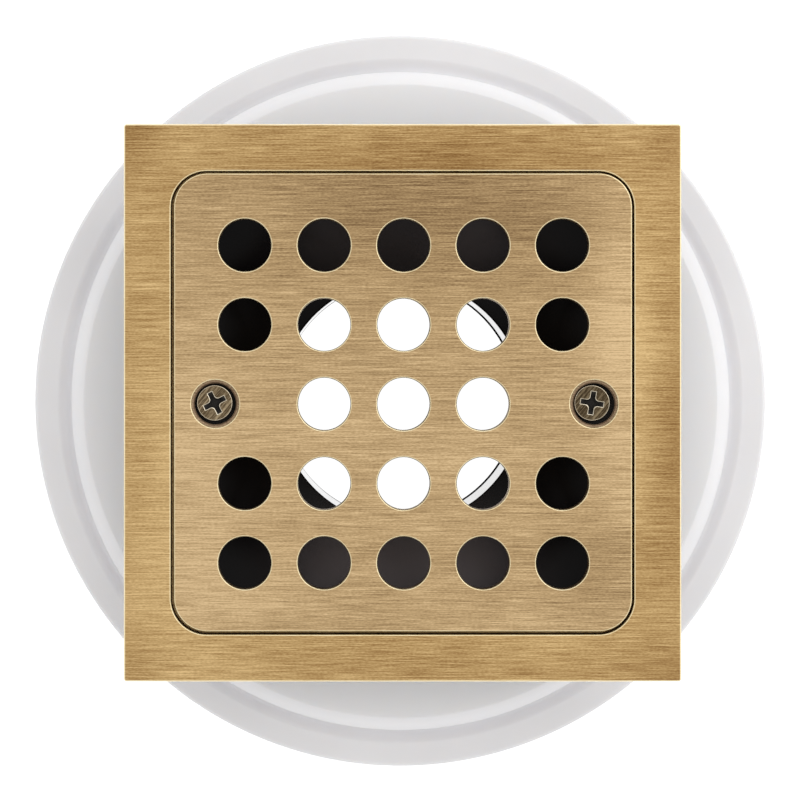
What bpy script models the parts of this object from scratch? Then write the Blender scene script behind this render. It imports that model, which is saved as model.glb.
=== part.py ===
"""Adjustable floor drain with a square brass strainer, one object per piece.

Metres, +Z up. The drain stands on the end of its hub at z = 0, and its axis is the Z axis.
A white base and clamping collar stay in the floor. A black barrel screws up and down in the
collar and carries the brass frame, and the perforated grate lies in that frame, held by two
captive screws.
"""
import math

import bmesh
import bpy
from mathutils import Vector

MM = 0.001

# Driving dimensions
FRAME_SIDE = 108.0 * MM
FRAME_TOP = 75.0 * MM
OPENING_SIDE = 90.1 * MM
OPENING_CORNER = 7.0 * MM
GRATE_GAP = 0.45 * MM
GRATE_THICKNESS = 4.5 * MM
HOLE_PITCH = 15.45 * MM
HOLE_RADIUS = 5.175 * MM
HOLE_GRID = 5
SCREW_SPACING = 73.7 * MM
FLANGE_RADIUS = 74.25 * MM
THROAT_RADIUS = 24.35 * MM
PIPE_RADIUS = 30.15 * MM
CLEARANCE = 0.3 * MM

# Frame
FRAME_HEIGHT = 8.0 * MM
FRAME_CORNER = 0.35 * MM
FRAME_CHAMFER = 0.3 * MM
LEDGE_HALF = 40.4 * MM
LEDGE_CORNER = 5.0 * MM
FRAME_BOTTOM = FRAME_TOP - FRAME_HEIGHT
GRATE_BOTTOM = FRAME_TOP - GRATE_THICKNESS
LEDGE_TOP = GRATE_BOTTOM - CLEARANCE

# Screw pockets of the grate
POCKET_TOP_RADIUS = 4.9 * MM
POCKET_CONE_RADIUS = 4.2 * MM
POCKET_CONE_DEPTH = 0.9 * MM
POCKET_FLOOR_RADIUS = 4.05 * MM
POCKET_DEPTH = 2.4 * MM
SHANK_HOLE_RADIUS = 2.3 * MM
EDGE_BREAK = 0.3 * MM

# Screw that holds the grate: its heights are counted from the underside of the head
SCREW_HEAD_RADIUS = 3.55 * MM
SCREW_HEAD_HEIGHT = 1.4 * MM
SCREW_NECK_RADIUS = 1.45 * MM
SCREW_CREST_RADIUS = 1.95 * MM
SCREW_THREAD_TOP = -7.0 * MM
SCREW_TIP = -10.9 * MM
SCREW_PITCH = 0.7 * MM
SCREW_TURNS = 4
RECESS_SPAN = 4.7 * MM
RECESS_WIDTH = 1.2 * MM
RECESS_DEPTH = 1.0 * MM
SCREW_SEAT = FRAME_TOP - POCKET_DEPTH + CLEARANCE
RETAINING_RADIUS = 3.0 * MM
RETAINING_THICKNESS = 0.7 * MM

# Pan and barrel
PAN_WALL = 3.0 * MM
PAN_FLANGE_HALF = 51.5 * MM
PAN_FLANGE_CORNER = 5.0 * MM
PAN_TOP = FRAME_BOTTOM - CLEARANCE
PAN_FLOOR_EDGE = 64.0 * MM
THROAT_TOP = 58.5 * MM
THROAT_ROUND = 1.4 * MM
NECK_TOP = 55.0 * MM
NECK_SHOULDER_RADIUS = 33.0 * MM
BARREL_BOTTOM = 26.0 * MM
BARREL_CORE_RADIUS = 28.0 * MM
THREAD_DEPTH = 1.2 * MM
THREAD_PITCH = 3.0 * MM
THREAD_CLEARANCE = 0.35 * MM
BARREL_THREAD_START = 28.2 * MM
BARREL_TURNS = 7
EDGE_CHAMFER = 0.6 * MM
BOSS_RADIUS = 5.2 * MM
BOSS_TOP = 65.5 * MM
BOSS_BOTTOM = 57.0 * MM
BOSS_HOLE_BOTTOM = 60.5 * MM
GRATE_INSERT_RADIUS = 3.3 * MM
GRATE_INSERT_BORE = 2.3 * MM

# Screws that hold the frame on the pan
FRAME_SCREW_OFFSET = 47.3 * MM
FRAME_SCREW_RADIUS = 1.5 * MM
FRAME_SCREW_HEAD_RADIUS = 3.1 * MM
FRAME_SCREW_HEAD_HEIGHT = 2.0 * MM
FRAME_SCREW_REACH = 5.0 * MM

# Base
HUB_RADIUS = 35.0 * MM
SOCKET_DEPTH = 20.0 * MM
SOCKET_RADIUS = PIPE_RADIUS + 0.2 * MM
PIPE_STOP_RADIUS = 29.0 * MM
PIPE_STOP_HEIGHT = 2.0 * MM
CHAMBER_RADIUS = 31.2 * MM
SEAT_HEIGHT = 37.0 * MM
SEAT_RADIUS = 64.5 * MM
GROOVE_FLOOR = 38.6 * MM
GROOVE_RADIUS = 67.2 * MM
RIM_TOP = 40.0 * MM
RIM_INNER_RADIUS = 69.6 * MM
FLANGE_BOTTOM = 33.0 * MM
FOOT_BOTTOM = 32.4 * MM
FOOT_INNER_RADIUS = 66.0 * MM
RIM_EDGE = 0.7 * MM
HUB_FILLET = 1.6 * MM
RIB_COUNT = 8
RIB_THICKNESS = 3.0 * MM
RIB_REACH = 51.0 * MM
RIB_DROP = 11.0 * MM

# Collar and clamping bolts
COLLAR_RADIUS = 66.6 * MM
COLLAR_BEVEL = 2.5 * MM
COLLAR_TOP = 45.0 * MM
COLLAR_HUB_RADIUS = 34.0 * MM
COLLAR_HUB_TOP = 49.0 * MM
COLLAR_TURNS = 2
COLLAR_THREAD_START = BARREL_THREAD_START + 3.5 * THREAD_PITCH
GASKET_THICKNESS = 1.4 * MM
GASKET_RADIUS = 63.0 * MM
COLLAR_BOTTOM = SEAT_HEIGHT + GASKET_THICKNESS + 2 * CLEARANCE
BOLT_CIRCLE = 56.0 * MM
BOLT_COUNT = 4
BOLT_RADIUS = 2.5 * MM
BOLT_HOLE_RADIUS = 2.9 * MM
BOLT_BOTTOM = 25.0 * MM
BOLT_HEAD_ACROSS_FLATS = 8.0 * MM
BOLT_HEAD_HEIGHT = 3.3 * MM
WASHER_RADIUS = 5.2 * MM
WASHER_THICKNESS = 1.0 * MM
COUNTERBORE_RADIUS = 6.2 * MM
COUNTERBORE_FLOOR = 41.6 * MM
BOLT_BOSS_RADIUS = 7.5 * MM
BOLT_BOSS_BOTTOM = 24.0 * MM
INSERT_RADIUS = 4.2 * MM
INSERT_POCKET_TOP = 32.0 * MM
WEEP_RADIUS = 2.0 * MM
WEEP_CIRCLE = 40.0 * MM

# Neck gasket
NECK_GASKET_INNER = 29.5 * MM
NECK_GASKET_OUTER = 33.0 * MM
NECK_GASKET_THICKNESS = 2.0 * MM

# Points of one corner arc, which is a quarter of a ring
FINE_QUARTER = 16
ROUND_QUARTER = 12
PLATE_QUARTER = 8
HOLE_QUARTER = 6
SMALL_QUARTER = 4
HARDWARE_QUARTER = 3

# One turn of a screw thread: share of the pitch, and height from root (0) to crest (1)
THREAD_PROFILE = ((0.2, 0.0), (0.4, 1.0), (0.6, 1.0), (0.8, 0.0))
THREAD_RUNOUT = 0.4


def clear_scene():
    for item in list(bpy.data.objects):
        bpy.data.objects.remove(item, do_unlink=True)


def make_material(name, color, roughness, metallic):
    material = bpy.data.materials.new(name)
    material.use_nodes = True
    shader = material.node_tree.nodes["Principled BSDF"]
    shader.inputs["Base Color"].default_value = (*color, 1.0)
    shader.inputs["Roughness"].default_value = roughness
    shader.inputs["Metallic"].default_value = metallic
    return material


# Outlines

def circle(radius, height, quarter):
    """Points of a circle, four quarters counter-clockwise."""
    count = 4 * quarter
    angles = [2 * math.pi * (index + 0.5) / count for index in range(count)]
    return [Vector((radius * math.cos(a), radius * math.sin(a), height)) for a in angles]


def rounded_square(half, corner, height, quarter):
    """Points of a square with round corners, in step with the points of circle()."""
    points = []
    for side in range(4):
        middle = math.radians(90 * side + 45)
        centre = Vector((math.cos(middle), math.sin(middle), 0)) * (half - corner) * math.sqrt(2)
        for step in range(quarter):
            angle = math.radians(90 * side + 90 * step / (quarter - 1))
            arm = Vector((math.cos(angle), math.sin(angle), 0)) * corner
            points.append(centre + arm + Vector((0, 0, height)))
    return points


def hexagon(across_flats, height, quarter):
    """Points of a hexagon, in step with the points of circle()."""
    points = []
    for point in circle(1, height, quarter):
        angle = math.atan2(point.y, point.x)
        to_flat = (angle % (math.pi / 3)) - math.pi / 6
        radius = across_flats / 2 / math.cos(to_flat)
        points.append(Vector((radius * math.cos(angle), radius * math.sin(angle), height)))
    return points


def cross(span, width, height):
    """Points of a plus sign."""
    arm = span / 2
    side = width / 2
    quadrant = [Vector((arm, side)), Vector((side, side)), Vector((side, arm))]
    points = []
    for turn in range(4):
        angle = math.radians(90 * turn)
        for corner in quadrant:
            x = corner.x * math.cos(angle) - corner.y * math.sin(angle)
            y = corner.x * math.sin(angle) + corner.y * math.cos(angle)
            points.append(Vector((x, y, height)))
    return points


def lathe_outlines(profile, quarter):
    """Circles for a profile of (radius, height) points."""
    return [circle(radius, height, quarter) for radius, height in profile]


def arc_profile(centre_radius, centre_height, radius, start, end, steps):
    """(radius, height) points on an arc, with its angles in degrees."""
    points = []
    for step in range(steps + 1):
        angle = math.radians(start + (end - start) * step / steps)
        points.append((centre_radius + radius * math.cos(angle),
                       centre_height + radius * math.sin(angle)))
    return points


# Solids

def bridge(mesh, lower, upper):
    count = len(lower)
    for index in range(count):
        following = (index + 1) % count
        mesh.faces.new((lower[index], lower[following], upper[following], upper[index]))


def bridge_with_thread(mesh, lower, upper, thread):
    """Join two rings with a right-hand screw thread that runs out at both ends."""
    root, crest, start, pitch, turns = thread
    count = len(lower)
    step_count = len(THREAD_PROFILE)
    last_row = turns * step_count
    columns = []
    for column_index in range(count):
        share = column_index / count
        angle = 2 * math.pi * (column_index + 0.5) / count
        column = []
        for row in range(last_row + 1):
            turn, step = divmod(row, step_count)
            phase, rise = THREAD_PROFILE[step]
            along = turn + share
            fade = min(1.0, along / THREAD_RUNOUT, max(0.0, (turns - along) / THREAD_RUNOUT))
            radius = root + (crest - root) * rise * fade
            height = start + pitch * (turn + phase + share)
            column.append(mesh.verts.new((radius * math.cos(angle), radius * math.sin(angle), height)))
        columns.append(column)
    for here, following, low, high in zip(columns, columns[1:], range(count), range(1, count)):
        mesh.faces.new((lower[low], lower[high], following[0], here[0]))
        for row in range(last_row):
            mesh.faces.new((here[row], following[row], following[row + 1], here[row + 1]))
        mesh.faces.new((here[-1], following[-1], upper[high], upper[low]))
    first = columns[0]
    last = columns[-1]
    mesh.faces.new((lower[-1], lower[0], first[0], last[0]))
    for row in range(step_count):
        mesh.faces.new((last[0], first[row], first[row + 1]))
    for row in range(last_row - step_count):
        mesh.faces.new((last[row], first[row + step_count], first[row + step_count + 1], last[row + 1]))
    for row in range(last_row - step_count, last_row):
        mesh.faces.new((last[row], first[-1], last[row + 1]))
    mesh.faces.new((last[-1], first[-1], upper[0], upper[-1]))


def add_skin(mesh, outlines, capped=False, threads=None):
    """Stretch a closed skin over outlines: a ring with no ends, or a capped stack."""
    rings = [[mesh.verts.new(point) for point in outline] for outline in outlines]
    threads = threads or {}
    for index, (lower, upper) in enumerate(zip(rings, rings[1:])):
        if index in threads:
            bridge_with_thread(mesh, lower, upper, threads[index])
        else:
            bridge(mesh, lower, upper)
    if capped:
        mesh.faces.new(rings[0])
        mesh.faces.new(rings[-1])
    else:
        bridge(mesh, rings[-1], rings[0])


def add_cylinder(mesh, radius, low, high, x, y, quarter):
    outlines = [circle(radius, low, quarter), circle(radius, high, quarter)]
    shift = Vector((x, y, 0))
    add_skin(mesh, [[point + shift for point in outline] for outline in outlines], capped=True)


def finish(name, mesh, material, location=(0, 0, 0), turn=0.0, smooth_angle=30.0):
    bmesh.ops.recalc_face_normals(mesh, faces=mesh.faces[:])
    data = bpy.data.meshes.new(name)
    mesh.to_mesh(data)
    mesh.free()
    data.materials.append(material)
    data.shade_smooth()
    data.set_sharp_from_angle(angle=math.radians(smooth_angle))
    item = bpy.data.objects.new(name, data)
    item.location = location
    item.rotation_euler = (0, 0, math.radians(turn))
    bpy.context.collection.objects.link(item)
    return item


def make_solid(name, material, outlines, capped=False, threads=None, location=(0, 0, 0), turn=0.0):
    mesh = bmesh.new()
    add_skin(mesh, outlines, capped, threads)
    return finish(name, mesh, material, location, turn)


def make_tool(name, mesh, material):
    """A hidden solid for a Boolean modifier."""
    tool = finish(name, mesh, material)
    tool.hide_render = True
    tool.display_type = "WIRE"
    return tool


def combine(target, tool, operation):
    modifier = target.modifiers.new(tool.name, "BOOLEAN")
    modifier.operation = operation
    modifier.solver = "EXACT"
    modifier.object = tool


def make_joint_empty(name, location):
    empty = bpy.data.objects.new(name, None)
    empty.location = location
    empty.empty_display_size = 0.01
    bpy.context.collection.objects.link(empty)
    return empty


def attach(items, empty):
    """Parent pieces to an empty and keep them where they are."""
    bpy.context.view_layer.update()
    for item in items:
        item.parent = empty
        item.matrix_parent_inverse = empty.matrix_world.inverted()


def bolt_positions():
    angles = [math.radians(45 + 360 * index / BOLT_COUNT) for index in range(BOLT_COUNT)]
    return [(BOLT_CIRCLE * math.cos(a), BOLT_CIRCLE * math.sin(a)) for a in angles]


def frame_screw_positions():
    signs = ((1, 1), (-1, 1), (-1, -1), (1, -1))
    return [(FRAME_SCREW_OFFSET * x, FRAME_SCREW_OFFSET * y) for x, y in signs]


# Base, gasket and collar

def groove_profile(steps):
    """A smooth rise from the groove's floor to the top of the rim."""
    points = []
    for step in range(steps + 1):
        share = step / steps
        rise = (1 - math.cos(math.pi * share)) / 2
        points.append((GROOVE_RADIUS + share * (RIM_INNER_RADIUS - GROOVE_RADIUS),
                       GROOVE_FLOOR + rise * (RIM_TOP - GROOVE_FLOOR)))
    return points


def base_profile():
    """Half section of the base, round from the chamber's top edge."""
    chamber_floor = SOCKET_DEPTH + PIPE_STOP_HEIGHT
    profile = [(CHAMBER_RADIUS, chamber_floor), (CHAMBER_RADIUS, SEAT_HEIGHT - EDGE_CHAMFER)]
    profile += [(CHAMBER_RADIUS + EDGE_CHAMFER, SEAT_HEIGHT), (SEAT_RADIUS, SEAT_HEIGHT)]
    profile += [(SEAT_RADIUS, GROOVE_FLOOR)]
    profile += groove_profile(5)
    profile += arc_profile(FLANGE_RADIUS - RIM_EDGE, RIM_TOP - RIM_EDGE, RIM_EDGE, 90, 0, 3)
    profile += arc_profile(FLANGE_RADIUS - RIM_EDGE, FOOT_BOTTOM + RIM_EDGE, RIM_EDGE, 0, -90, 3)
    profile += [(FOOT_INNER_RADIUS, FOOT_BOTTOM), (FOOT_INNER_RADIUS, FLANGE_BOTTOM)]
    profile += [(HUB_RADIUS + HUB_FILLET, FLANGE_BOTTOM), (HUB_RADIUS, FLANGE_BOTTOM - HUB_FILLET)]
    profile += [(HUB_RADIUS, EDGE_CHAMFER), (HUB_RADIUS - EDGE_CHAMFER, 0)]
    profile += [(SOCKET_RADIUS + EDGE_CHAMFER, 0), (SOCKET_RADIUS, EDGE_CHAMFER)]
    profile += [(SOCKET_RADIUS, SOCKET_DEPTH), (PIPE_STOP_RADIUS, SOCKET_DEPTH)]
    profile += [(PIPE_STOP_RADIUS, chamber_floor)]
    return profile


def add_rib(mesh, angle):
    """A tapered web between the hub and the underside of the flange."""
    along = Vector((math.cos(angle), math.sin(angle), 0))
    across = Vector((-math.sin(angle), math.cos(angle), 0)) * (RIB_THICKNESS / 2)
    inside = HUB_RADIUS - HUB_FILLET
    buried = FLANGE_BOTTOM + HUB_FILLET
    corners = [(inside, buried), (RIB_REACH, buried), (RIB_REACH, FLANGE_BOTTOM - RIB_THICKNESS),
               (inside, FLANGE_BOTTOM - RIB_DROP)]
    sides = []
    for sign in (-1, 1):
        sides.append([along * reach + across * sign + Vector((0, 0, height)) for reach, height in corners])
    add_skin(mesh, sides, capped=True)


def make_base(material):
    base = make_solid("drain_base", material, lathe_outlines(base_profile(), FINE_QUARTER))
    additions = bmesh.new()
    for index in range(RIB_COUNT):
        add_rib(additions, 2 * math.pi * (index + 0.5) / RIB_COUNT)
    for x, y in bolt_positions():
        buried = FLANGE_BOTTOM + HUB_FILLET
        add_cylinder(additions, BOLT_BOSS_RADIUS, BOLT_BOSS_BOTTOM, buried, x, y, HOLE_QUARTER)
    combine(base, make_tool("base_additions", additions, material), "UNION")
    holes = bmesh.new()
    for x, y in bolt_positions():
        outlines = lathe_outlines(
            [(INSERT_RADIUS + CLEARANCE, BOLT_BOSS_BOTTOM - EDGE_CHAMFER),
             (INSERT_RADIUS + CLEARANCE, INSERT_POCKET_TOP),
             (BOLT_HOLE_RADIUS, INSERT_POCKET_TOP),
             (BOLT_HOLE_RADIUS, SEAT_HEIGHT + EDGE_CHAMFER)], SMALL_QUARTER)
        shift = Vector((x, y, 0))
        add_skin(holes, [[point + shift for point in outline] for outline in outlines], capped=True)
    combine(base, make_tool("base_holes", holes, material), "DIFFERENCE")
    return base


def make_membrane_gasket(material):
    low = SEAT_HEIGHT + CLEARANCE
    high = low + GASKET_THICKNESS
    inner = CHAMBER_RADIUS + 2 * EDGE_CHAMFER
    profile = [(inner, low), (inner, high), (GASKET_RADIUS, high), (GASKET_RADIUS, low)]
    gasket = make_solid("membrane_gasket", material, lathe_outlines(profile, ROUND_QUARTER))
    holes = bmesh.new()
    for x, y in bolt_positions():
        add_cylinder(holes, BOLT_HOLE_RADIUS, low - MM, high + MM, x, y, SMALL_QUARTER)
    combine(gasket, make_tool("gasket_holes", holes, material), "DIFFERENCE")


def make_collar(material):
    crest = BARREL_CORE_RADIUS + THREAD_CLEARANCE
    root = crest + THREAD_DEPTH
    outer_bottom = COLLAR_RADIUS - EDGE_CHAMFER
    profile = [(root, COLLAR_BOTTOM), (root, COLLAR_HUB_TOP)]
    profile += [(COLLAR_HUB_RADIUS - EDGE_CHAMFER, COLLAR_HUB_TOP)]
    profile += [(COLLAR_HUB_RADIUS, COLLAR_HUB_TOP - EDGE_CHAMFER), (COLLAR_HUB_RADIUS, COLLAR_TOP)]
    profile += [(COLLAR_RADIUS - COLLAR_BEVEL, COLLAR_TOP), (COLLAR_RADIUS, COLLAR_TOP - COLLAR_BEVEL)]
    profile += [(COLLAR_RADIUS, COLLAR_BOTTOM + EDGE_CHAMFER), (outer_bottom, COLLAR_BOTTOM)]
    thread = (root, crest, COLLAR_THREAD_START, THREAD_PITCH, COLLAR_TURNS)
    outlines = lathe_outlines(profile, ROUND_QUARTER)
    collar = make_solid("clamping_collar", material, outlines, threads={0: thread})
    holes = bmesh.new()
    for x, y in bolt_positions():
        outlines = lathe_outlines(
            [(BOLT_HOLE_RADIUS, COLLAR_BOTTOM - MM), (BOLT_HOLE_RADIUS, COUNTERBORE_FLOOR),
             (COUNTERBORE_RADIUS, COUNTERBORE_FLOOR), (COUNTERBORE_RADIUS, COLLAR_TOP + MM)], SMALL_QUARTER)
        shift = Vector((x, y, 0))
        add_skin(holes, [[point + shift for point in outline] for outline in outlines], capped=True)
    for turn in range(4):
        x = WEEP_CIRCLE * math.cos(math.pi / 2 * turn)
        y = WEEP_CIRCLE * math.sin(math.pi / 2 * turn)
        add_cylinder(holes, WEEP_RADIUS, COLLAR_BOTTOM - MM, COLLAR_TOP + MM, x, y, HARDWARE_QUARTER)
    combine(collar, make_tool("collar_holes", holes, material), "DIFFERENCE")


def make_clamp_hardware(steel, brass):
    """Four bolts with a washer under each head and a threaded insert in the base."""
    washer_low = COUNTERBORE_FLOOR + CLEARANCE
    head_low = washer_low + WASHER_THICKNESS + CLEARANCE
    head_high = head_low + BOLT_HEAD_HEIGHT
    flats = BOLT_HEAD_ACROSS_FLATS
    tip = BOLT_RADIUS - EDGE_BREAK
    bolt = [circle(tip, BOLT_BOTTOM, HARDWARE_QUARTER),
            circle(BOLT_RADIUS, BOLT_BOTTOM + MM, HARDWARE_QUARTER),
            circle(BOLT_RADIUS, head_low, HARDWARE_QUARTER), hexagon(flats, head_low, HARDWARE_QUARTER),
            hexagon(flats, head_high - EDGE_CHAMFER, HARDWARE_QUARTER),
            circle(flats / 2 - EDGE_BREAK, head_high, HARDWARE_QUARTER)]
    washer = lathe_outlines(
        [(BOLT_HOLE_RADIUS, washer_low), (BOLT_HOLE_RADIUS, washer_low + WASHER_THICKNESS),
         (WASHER_RADIUS, washer_low + WASHER_THICKNESS), (WASHER_RADIUS, washer_low)], SMALL_QUARTER)
    insert_low = BOLT_BOSS_BOTTOM + CLEARANCE
    insert_high = INSERT_POCKET_TOP - CLEARANCE
    insert = lathe_outlines(
        [(BOLT_HOLE_RADIUS, insert_low), (BOLT_HOLE_RADIUS, insert_high),
         (INSERT_RADIUS, insert_high), (INSERT_RADIUS, insert_low)], SMALL_QUARTER)
    for number, (x, y) in enumerate(bolt_positions(), start=1):
        place = (x, y, 0)
        make_solid(f"clamp_bolt_{number}", steel, bolt, capped=True, location=place)
        make_solid(f"clamp_washer_{number}", steel, washer, location=place)
        make_solid(f"clamp_insert_{number}", brass, insert, location=place)


# Barrel, frame and what is fixed to them

def barrel_outlines():
    """Outlines of the barrel, up its outside, over the pan and down the throat."""
    half = LEDGE_HALF
    corner = LEDGE_CORNER
    neck = BARREL_CORE_RADIUS
    outlines = lathe_outlines([(neck - EDGE_CHAMFER, BARREL_BOTTOM), (neck, BARREL_BOTTOM + EDGE_CHAMFER),
                               (neck, NECK_TOP), (NECK_SHOULDER_RADIUS, NECK_TOP)], ROUND_QUARTER)
    squares = [
        (half + MM, corner + MM, PAN_FLOOR_EDGE - PAN_WALL),
        (half + PAN_WALL, corner + PAN_WALL, PAN_TOP - PAN_WALL),
        (PAN_FLANGE_HALF, PAN_FLANGE_CORNER, PAN_TOP - PAN_WALL),
        (PAN_FLANGE_HALF, PAN_FLANGE_CORNER, PAN_TOP),
        (half, corner, PAN_TOP),
        (half - EDGE_CHAMFER, corner, PAN_FLOOR_EDGE),
    ]
    outlines += [rounded_square(*square, ROUND_QUARTER) for square in squares]
    lip = THROAT_TOP - THROAT_ROUND
    round_over = arc_profile(THROAT_RADIUS + THROAT_ROUND, lip, THROAT_ROUND, 90, 180, 3)
    outlines += lathe_outlines(round_over, ROUND_QUARTER)
    outlines += lathe_outlines([(THROAT_RADIUS, BARREL_BOTTOM + EDGE_CHAMFER),
                                (THROAT_RADIUS + EDGE_CHAMFER, BARREL_BOTTOM)], ROUND_QUARTER)
    return outlines


def make_barrel(material):
    crest = BARREL_CORE_RADIUS + THREAD_DEPTH
    thread = (BARREL_CORE_RADIUS, crest, BARREL_THREAD_START, THREAD_PITCH, BARREL_TURNS)
    barrel = make_solid("strainer_barrel", material, barrel_outlines(), threads={1: thread})
    bosses = bmesh.new()
    holes = bmesh.new()
    for side in (-1, 1):
        x = side * SCREW_SPACING / 2
        add_cylinder(bosses, BOSS_RADIUS, BOSS_BOTTOM, BOSS_TOP, x, 0, HOLE_QUARTER)
        bore = GRATE_INSERT_RADIUS + CLEARANCE
        add_cylinder(holes, bore, BOSS_HOLE_BOTTOM, BOSS_TOP + MM, x, 0, SMALL_QUARTER)
    for x, y in frame_screw_positions():
        add_cylinder(holes, FRAME_SCREW_RADIUS + CLEARANCE, PAN_TOP - PAN_WALL - MM, PAN_TOP + MM,
                     x, y, HARDWARE_QUARTER)
    combine(barrel, make_tool("pan_bosses", bosses, material), "UNION")
    combine(barrel, make_tool("pan_holes", holes, material), "DIFFERENCE")
    return barrel


def make_frame(material):
    half = FRAME_SIDE / 2
    opening = OPENING_SIDE / 2
    squares = [
        (half, FRAME_CORNER, FRAME_BOTTOM),
        (half, FRAME_CORNER, FRAME_TOP - FRAME_CHAMFER),
        (half - FRAME_CHAMFER, FRAME_CORNER / 2, FRAME_TOP),
        (opening + FRAME_CHAMFER, OPENING_CORNER + FRAME_CHAMFER, FRAME_TOP),
        (opening, OPENING_CORNER, FRAME_TOP - FRAME_CHAMFER),
        (opening, OPENING_CORNER, LEDGE_TOP),
        (LEDGE_HALF, LEDGE_CORNER, LEDGE_TOP),
        (LEDGE_HALF, LEDGE_CORNER, FRAME_BOTTOM),
    ]
    outlines = [rounded_square(*square, PLATE_QUARTER) for square in squares]
    frame = make_solid("grate_frame", material, outlines)
    holes = bmesh.new()
    for x, y in frame_screw_positions():
        add_cylinder(holes, FRAME_SCREW_RADIUS + CLEARANCE, FRAME_BOTTOM - MM,
                     FRAME_BOTTOM + FRAME_SCREW_REACH + CLEARANCE, x, y, HARDWARE_QUARTER)
    combine(frame, make_tool("frame_holes", holes, material), "DIFFERENCE")
    return frame


def make_frame_screws(material):
    """Four screws, heads down, that come up through the pan's flange."""
    head_top = PAN_TOP - PAN_WALL - CLEARANCE
    head_bottom = head_top - FRAME_SCREW_HEAD_HEIGHT
    profile = [(FRAME_SCREW_HEAD_RADIUS - EDGE_CHAMFER, head_bottom),
               (FRAME_SCREW_HEAD_RADIUS, head_bottom + EDGE_CHAMFER), (FRAME_SCREW_HEAD_RADIUS, head_top),
               (FRAME_SCREW_RADIUS, head_top), (FRAME_SCREW_RADIUS, FRAME_BOTTOM + FRAME_SCREW_REACH)]
    screws = []
    for number, (x, y) in enumerate(frame_screw_positions(), start=1):
        outlines = lathe_outlines(profile, HARDWARE_QUARTER)
        name = f"frame_screw_{number}"
        screws.append(make_solid(name, material, outlines, capped=True, location=(x, y, 0)))
    return screws


def make_grate_inserts(material):
    low = BOSS_HOLE_BOTTOM + CLEARANCE
    high = BOSS_TOP - CLEARANCE
    profile = [(GRATE_INSERT_BORE, low), (GRATE_INSERT_BORE, high),
               (GRATE_INSERT_RADIUS, high), (GRATE_INSERT_RADIUS, low)]
    inserts = []
    for side, name in ((-1, "left"), (1, "right")):
        place = (side * SCREW_SPACING / 2, 0, 0)
        outlines = lathe_outlines(profile, SMALL_QUARTER)
        inserts.append(make_solid(f"grate_insert_{name}", material, outlines, location=place))
    return inserts


def make_neck_gasket(material):
    high = NECK_TOP - CLEARANCE
    low = high - NECK_GASKET_THICKNESS
    profile = [(NECK_GASKET_INNER, low), (NECK_GASKET_INNER, high),
               (NECK_GASKET_OUTER, high), (NECK_GASKET_OUTER, low)]
    return make_solid("neck_gasket", material, lathe_outlines(profile, ROUND_QUARTER))


# Grate and its screws

def hole_positions():
    """A square grid of holes, without the two that the screws take the place of."""
    middle = HOLE_GRID // 2
    positions = []
    for row in range(-middle, middle + 1):
        for column in range(-middle, middle + 1):
            if row != 0 or abs(column) != middle:
                positions.append((column * HOLE_PITCH, row * HOLE_PITCH))
    return positions


def make_grate(material):
    half = OPENING_SIDE / 2 - GRATE_GAP
    corner = OPENING_CORNER - GRATE_GAP
    squares = [
        (half, corner, GRATE_BOTTOM),
        (half, corner, FRAME_TOP - EDGE_BREAK),
        (half - EDGE_BREAK, corner - EDGE_BREAK, FRAME_TOP),
    ]
    outlines = [rounded_square(*square, PLATE_QUARTER) for square in squares]
    grate = make_solid("grate", material, outlines, capped=True)
    hole = [(HOLE_RADIUS, GRATE_BOTTOM - MM), (HOLE_RADIUS, FRAME_TOP - EDGE_BREAK),
            (HOLE_RADIUS + EDGE_BREAK + MM, FRAME_TOP + MM)]
    pocket_floor = FRAME_TOP - POCKET_DEPTH
    slope = (POCKET_TOP_RADIUS - POCKET_CONE_RADIUS) / POCKET_CONE_DEPTH
    pocket = [(SHANK_HOLE_RADIUS, GRATE_BOTTOM - MM), (SHANK_HOLE_RADIUS, pocket_floor),
              (POCKET_FLOOR_RADIUS, pocket_floor), (POCKET_CONE_RADIUS, FRAME_TOP - POCKET_CONE_DEPTH),
              (POCKET_TOP_RADIUS + slope * MM, FRAME_TOP + MM)]
    cuts = [(hole, position) for position in hole_positions()]
    cuts += [(pocket, (side * SCREW_SPACING / 2, 0)) for side in (-1, 1)]
    holes = bmesh.new()
    for profile, (x, y) in cuts:
        shift = Vector((x, y, 0))
        outlines = lathe_outlines(profile, HOLE_QUARTER)
        add_skin(holes, [[point + shift for point in outline] for outline in outlines], capped=True)
    combine(grate, make_tool("grate_holes", holes, material), "DIFFERENCE")
    return grate


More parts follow.
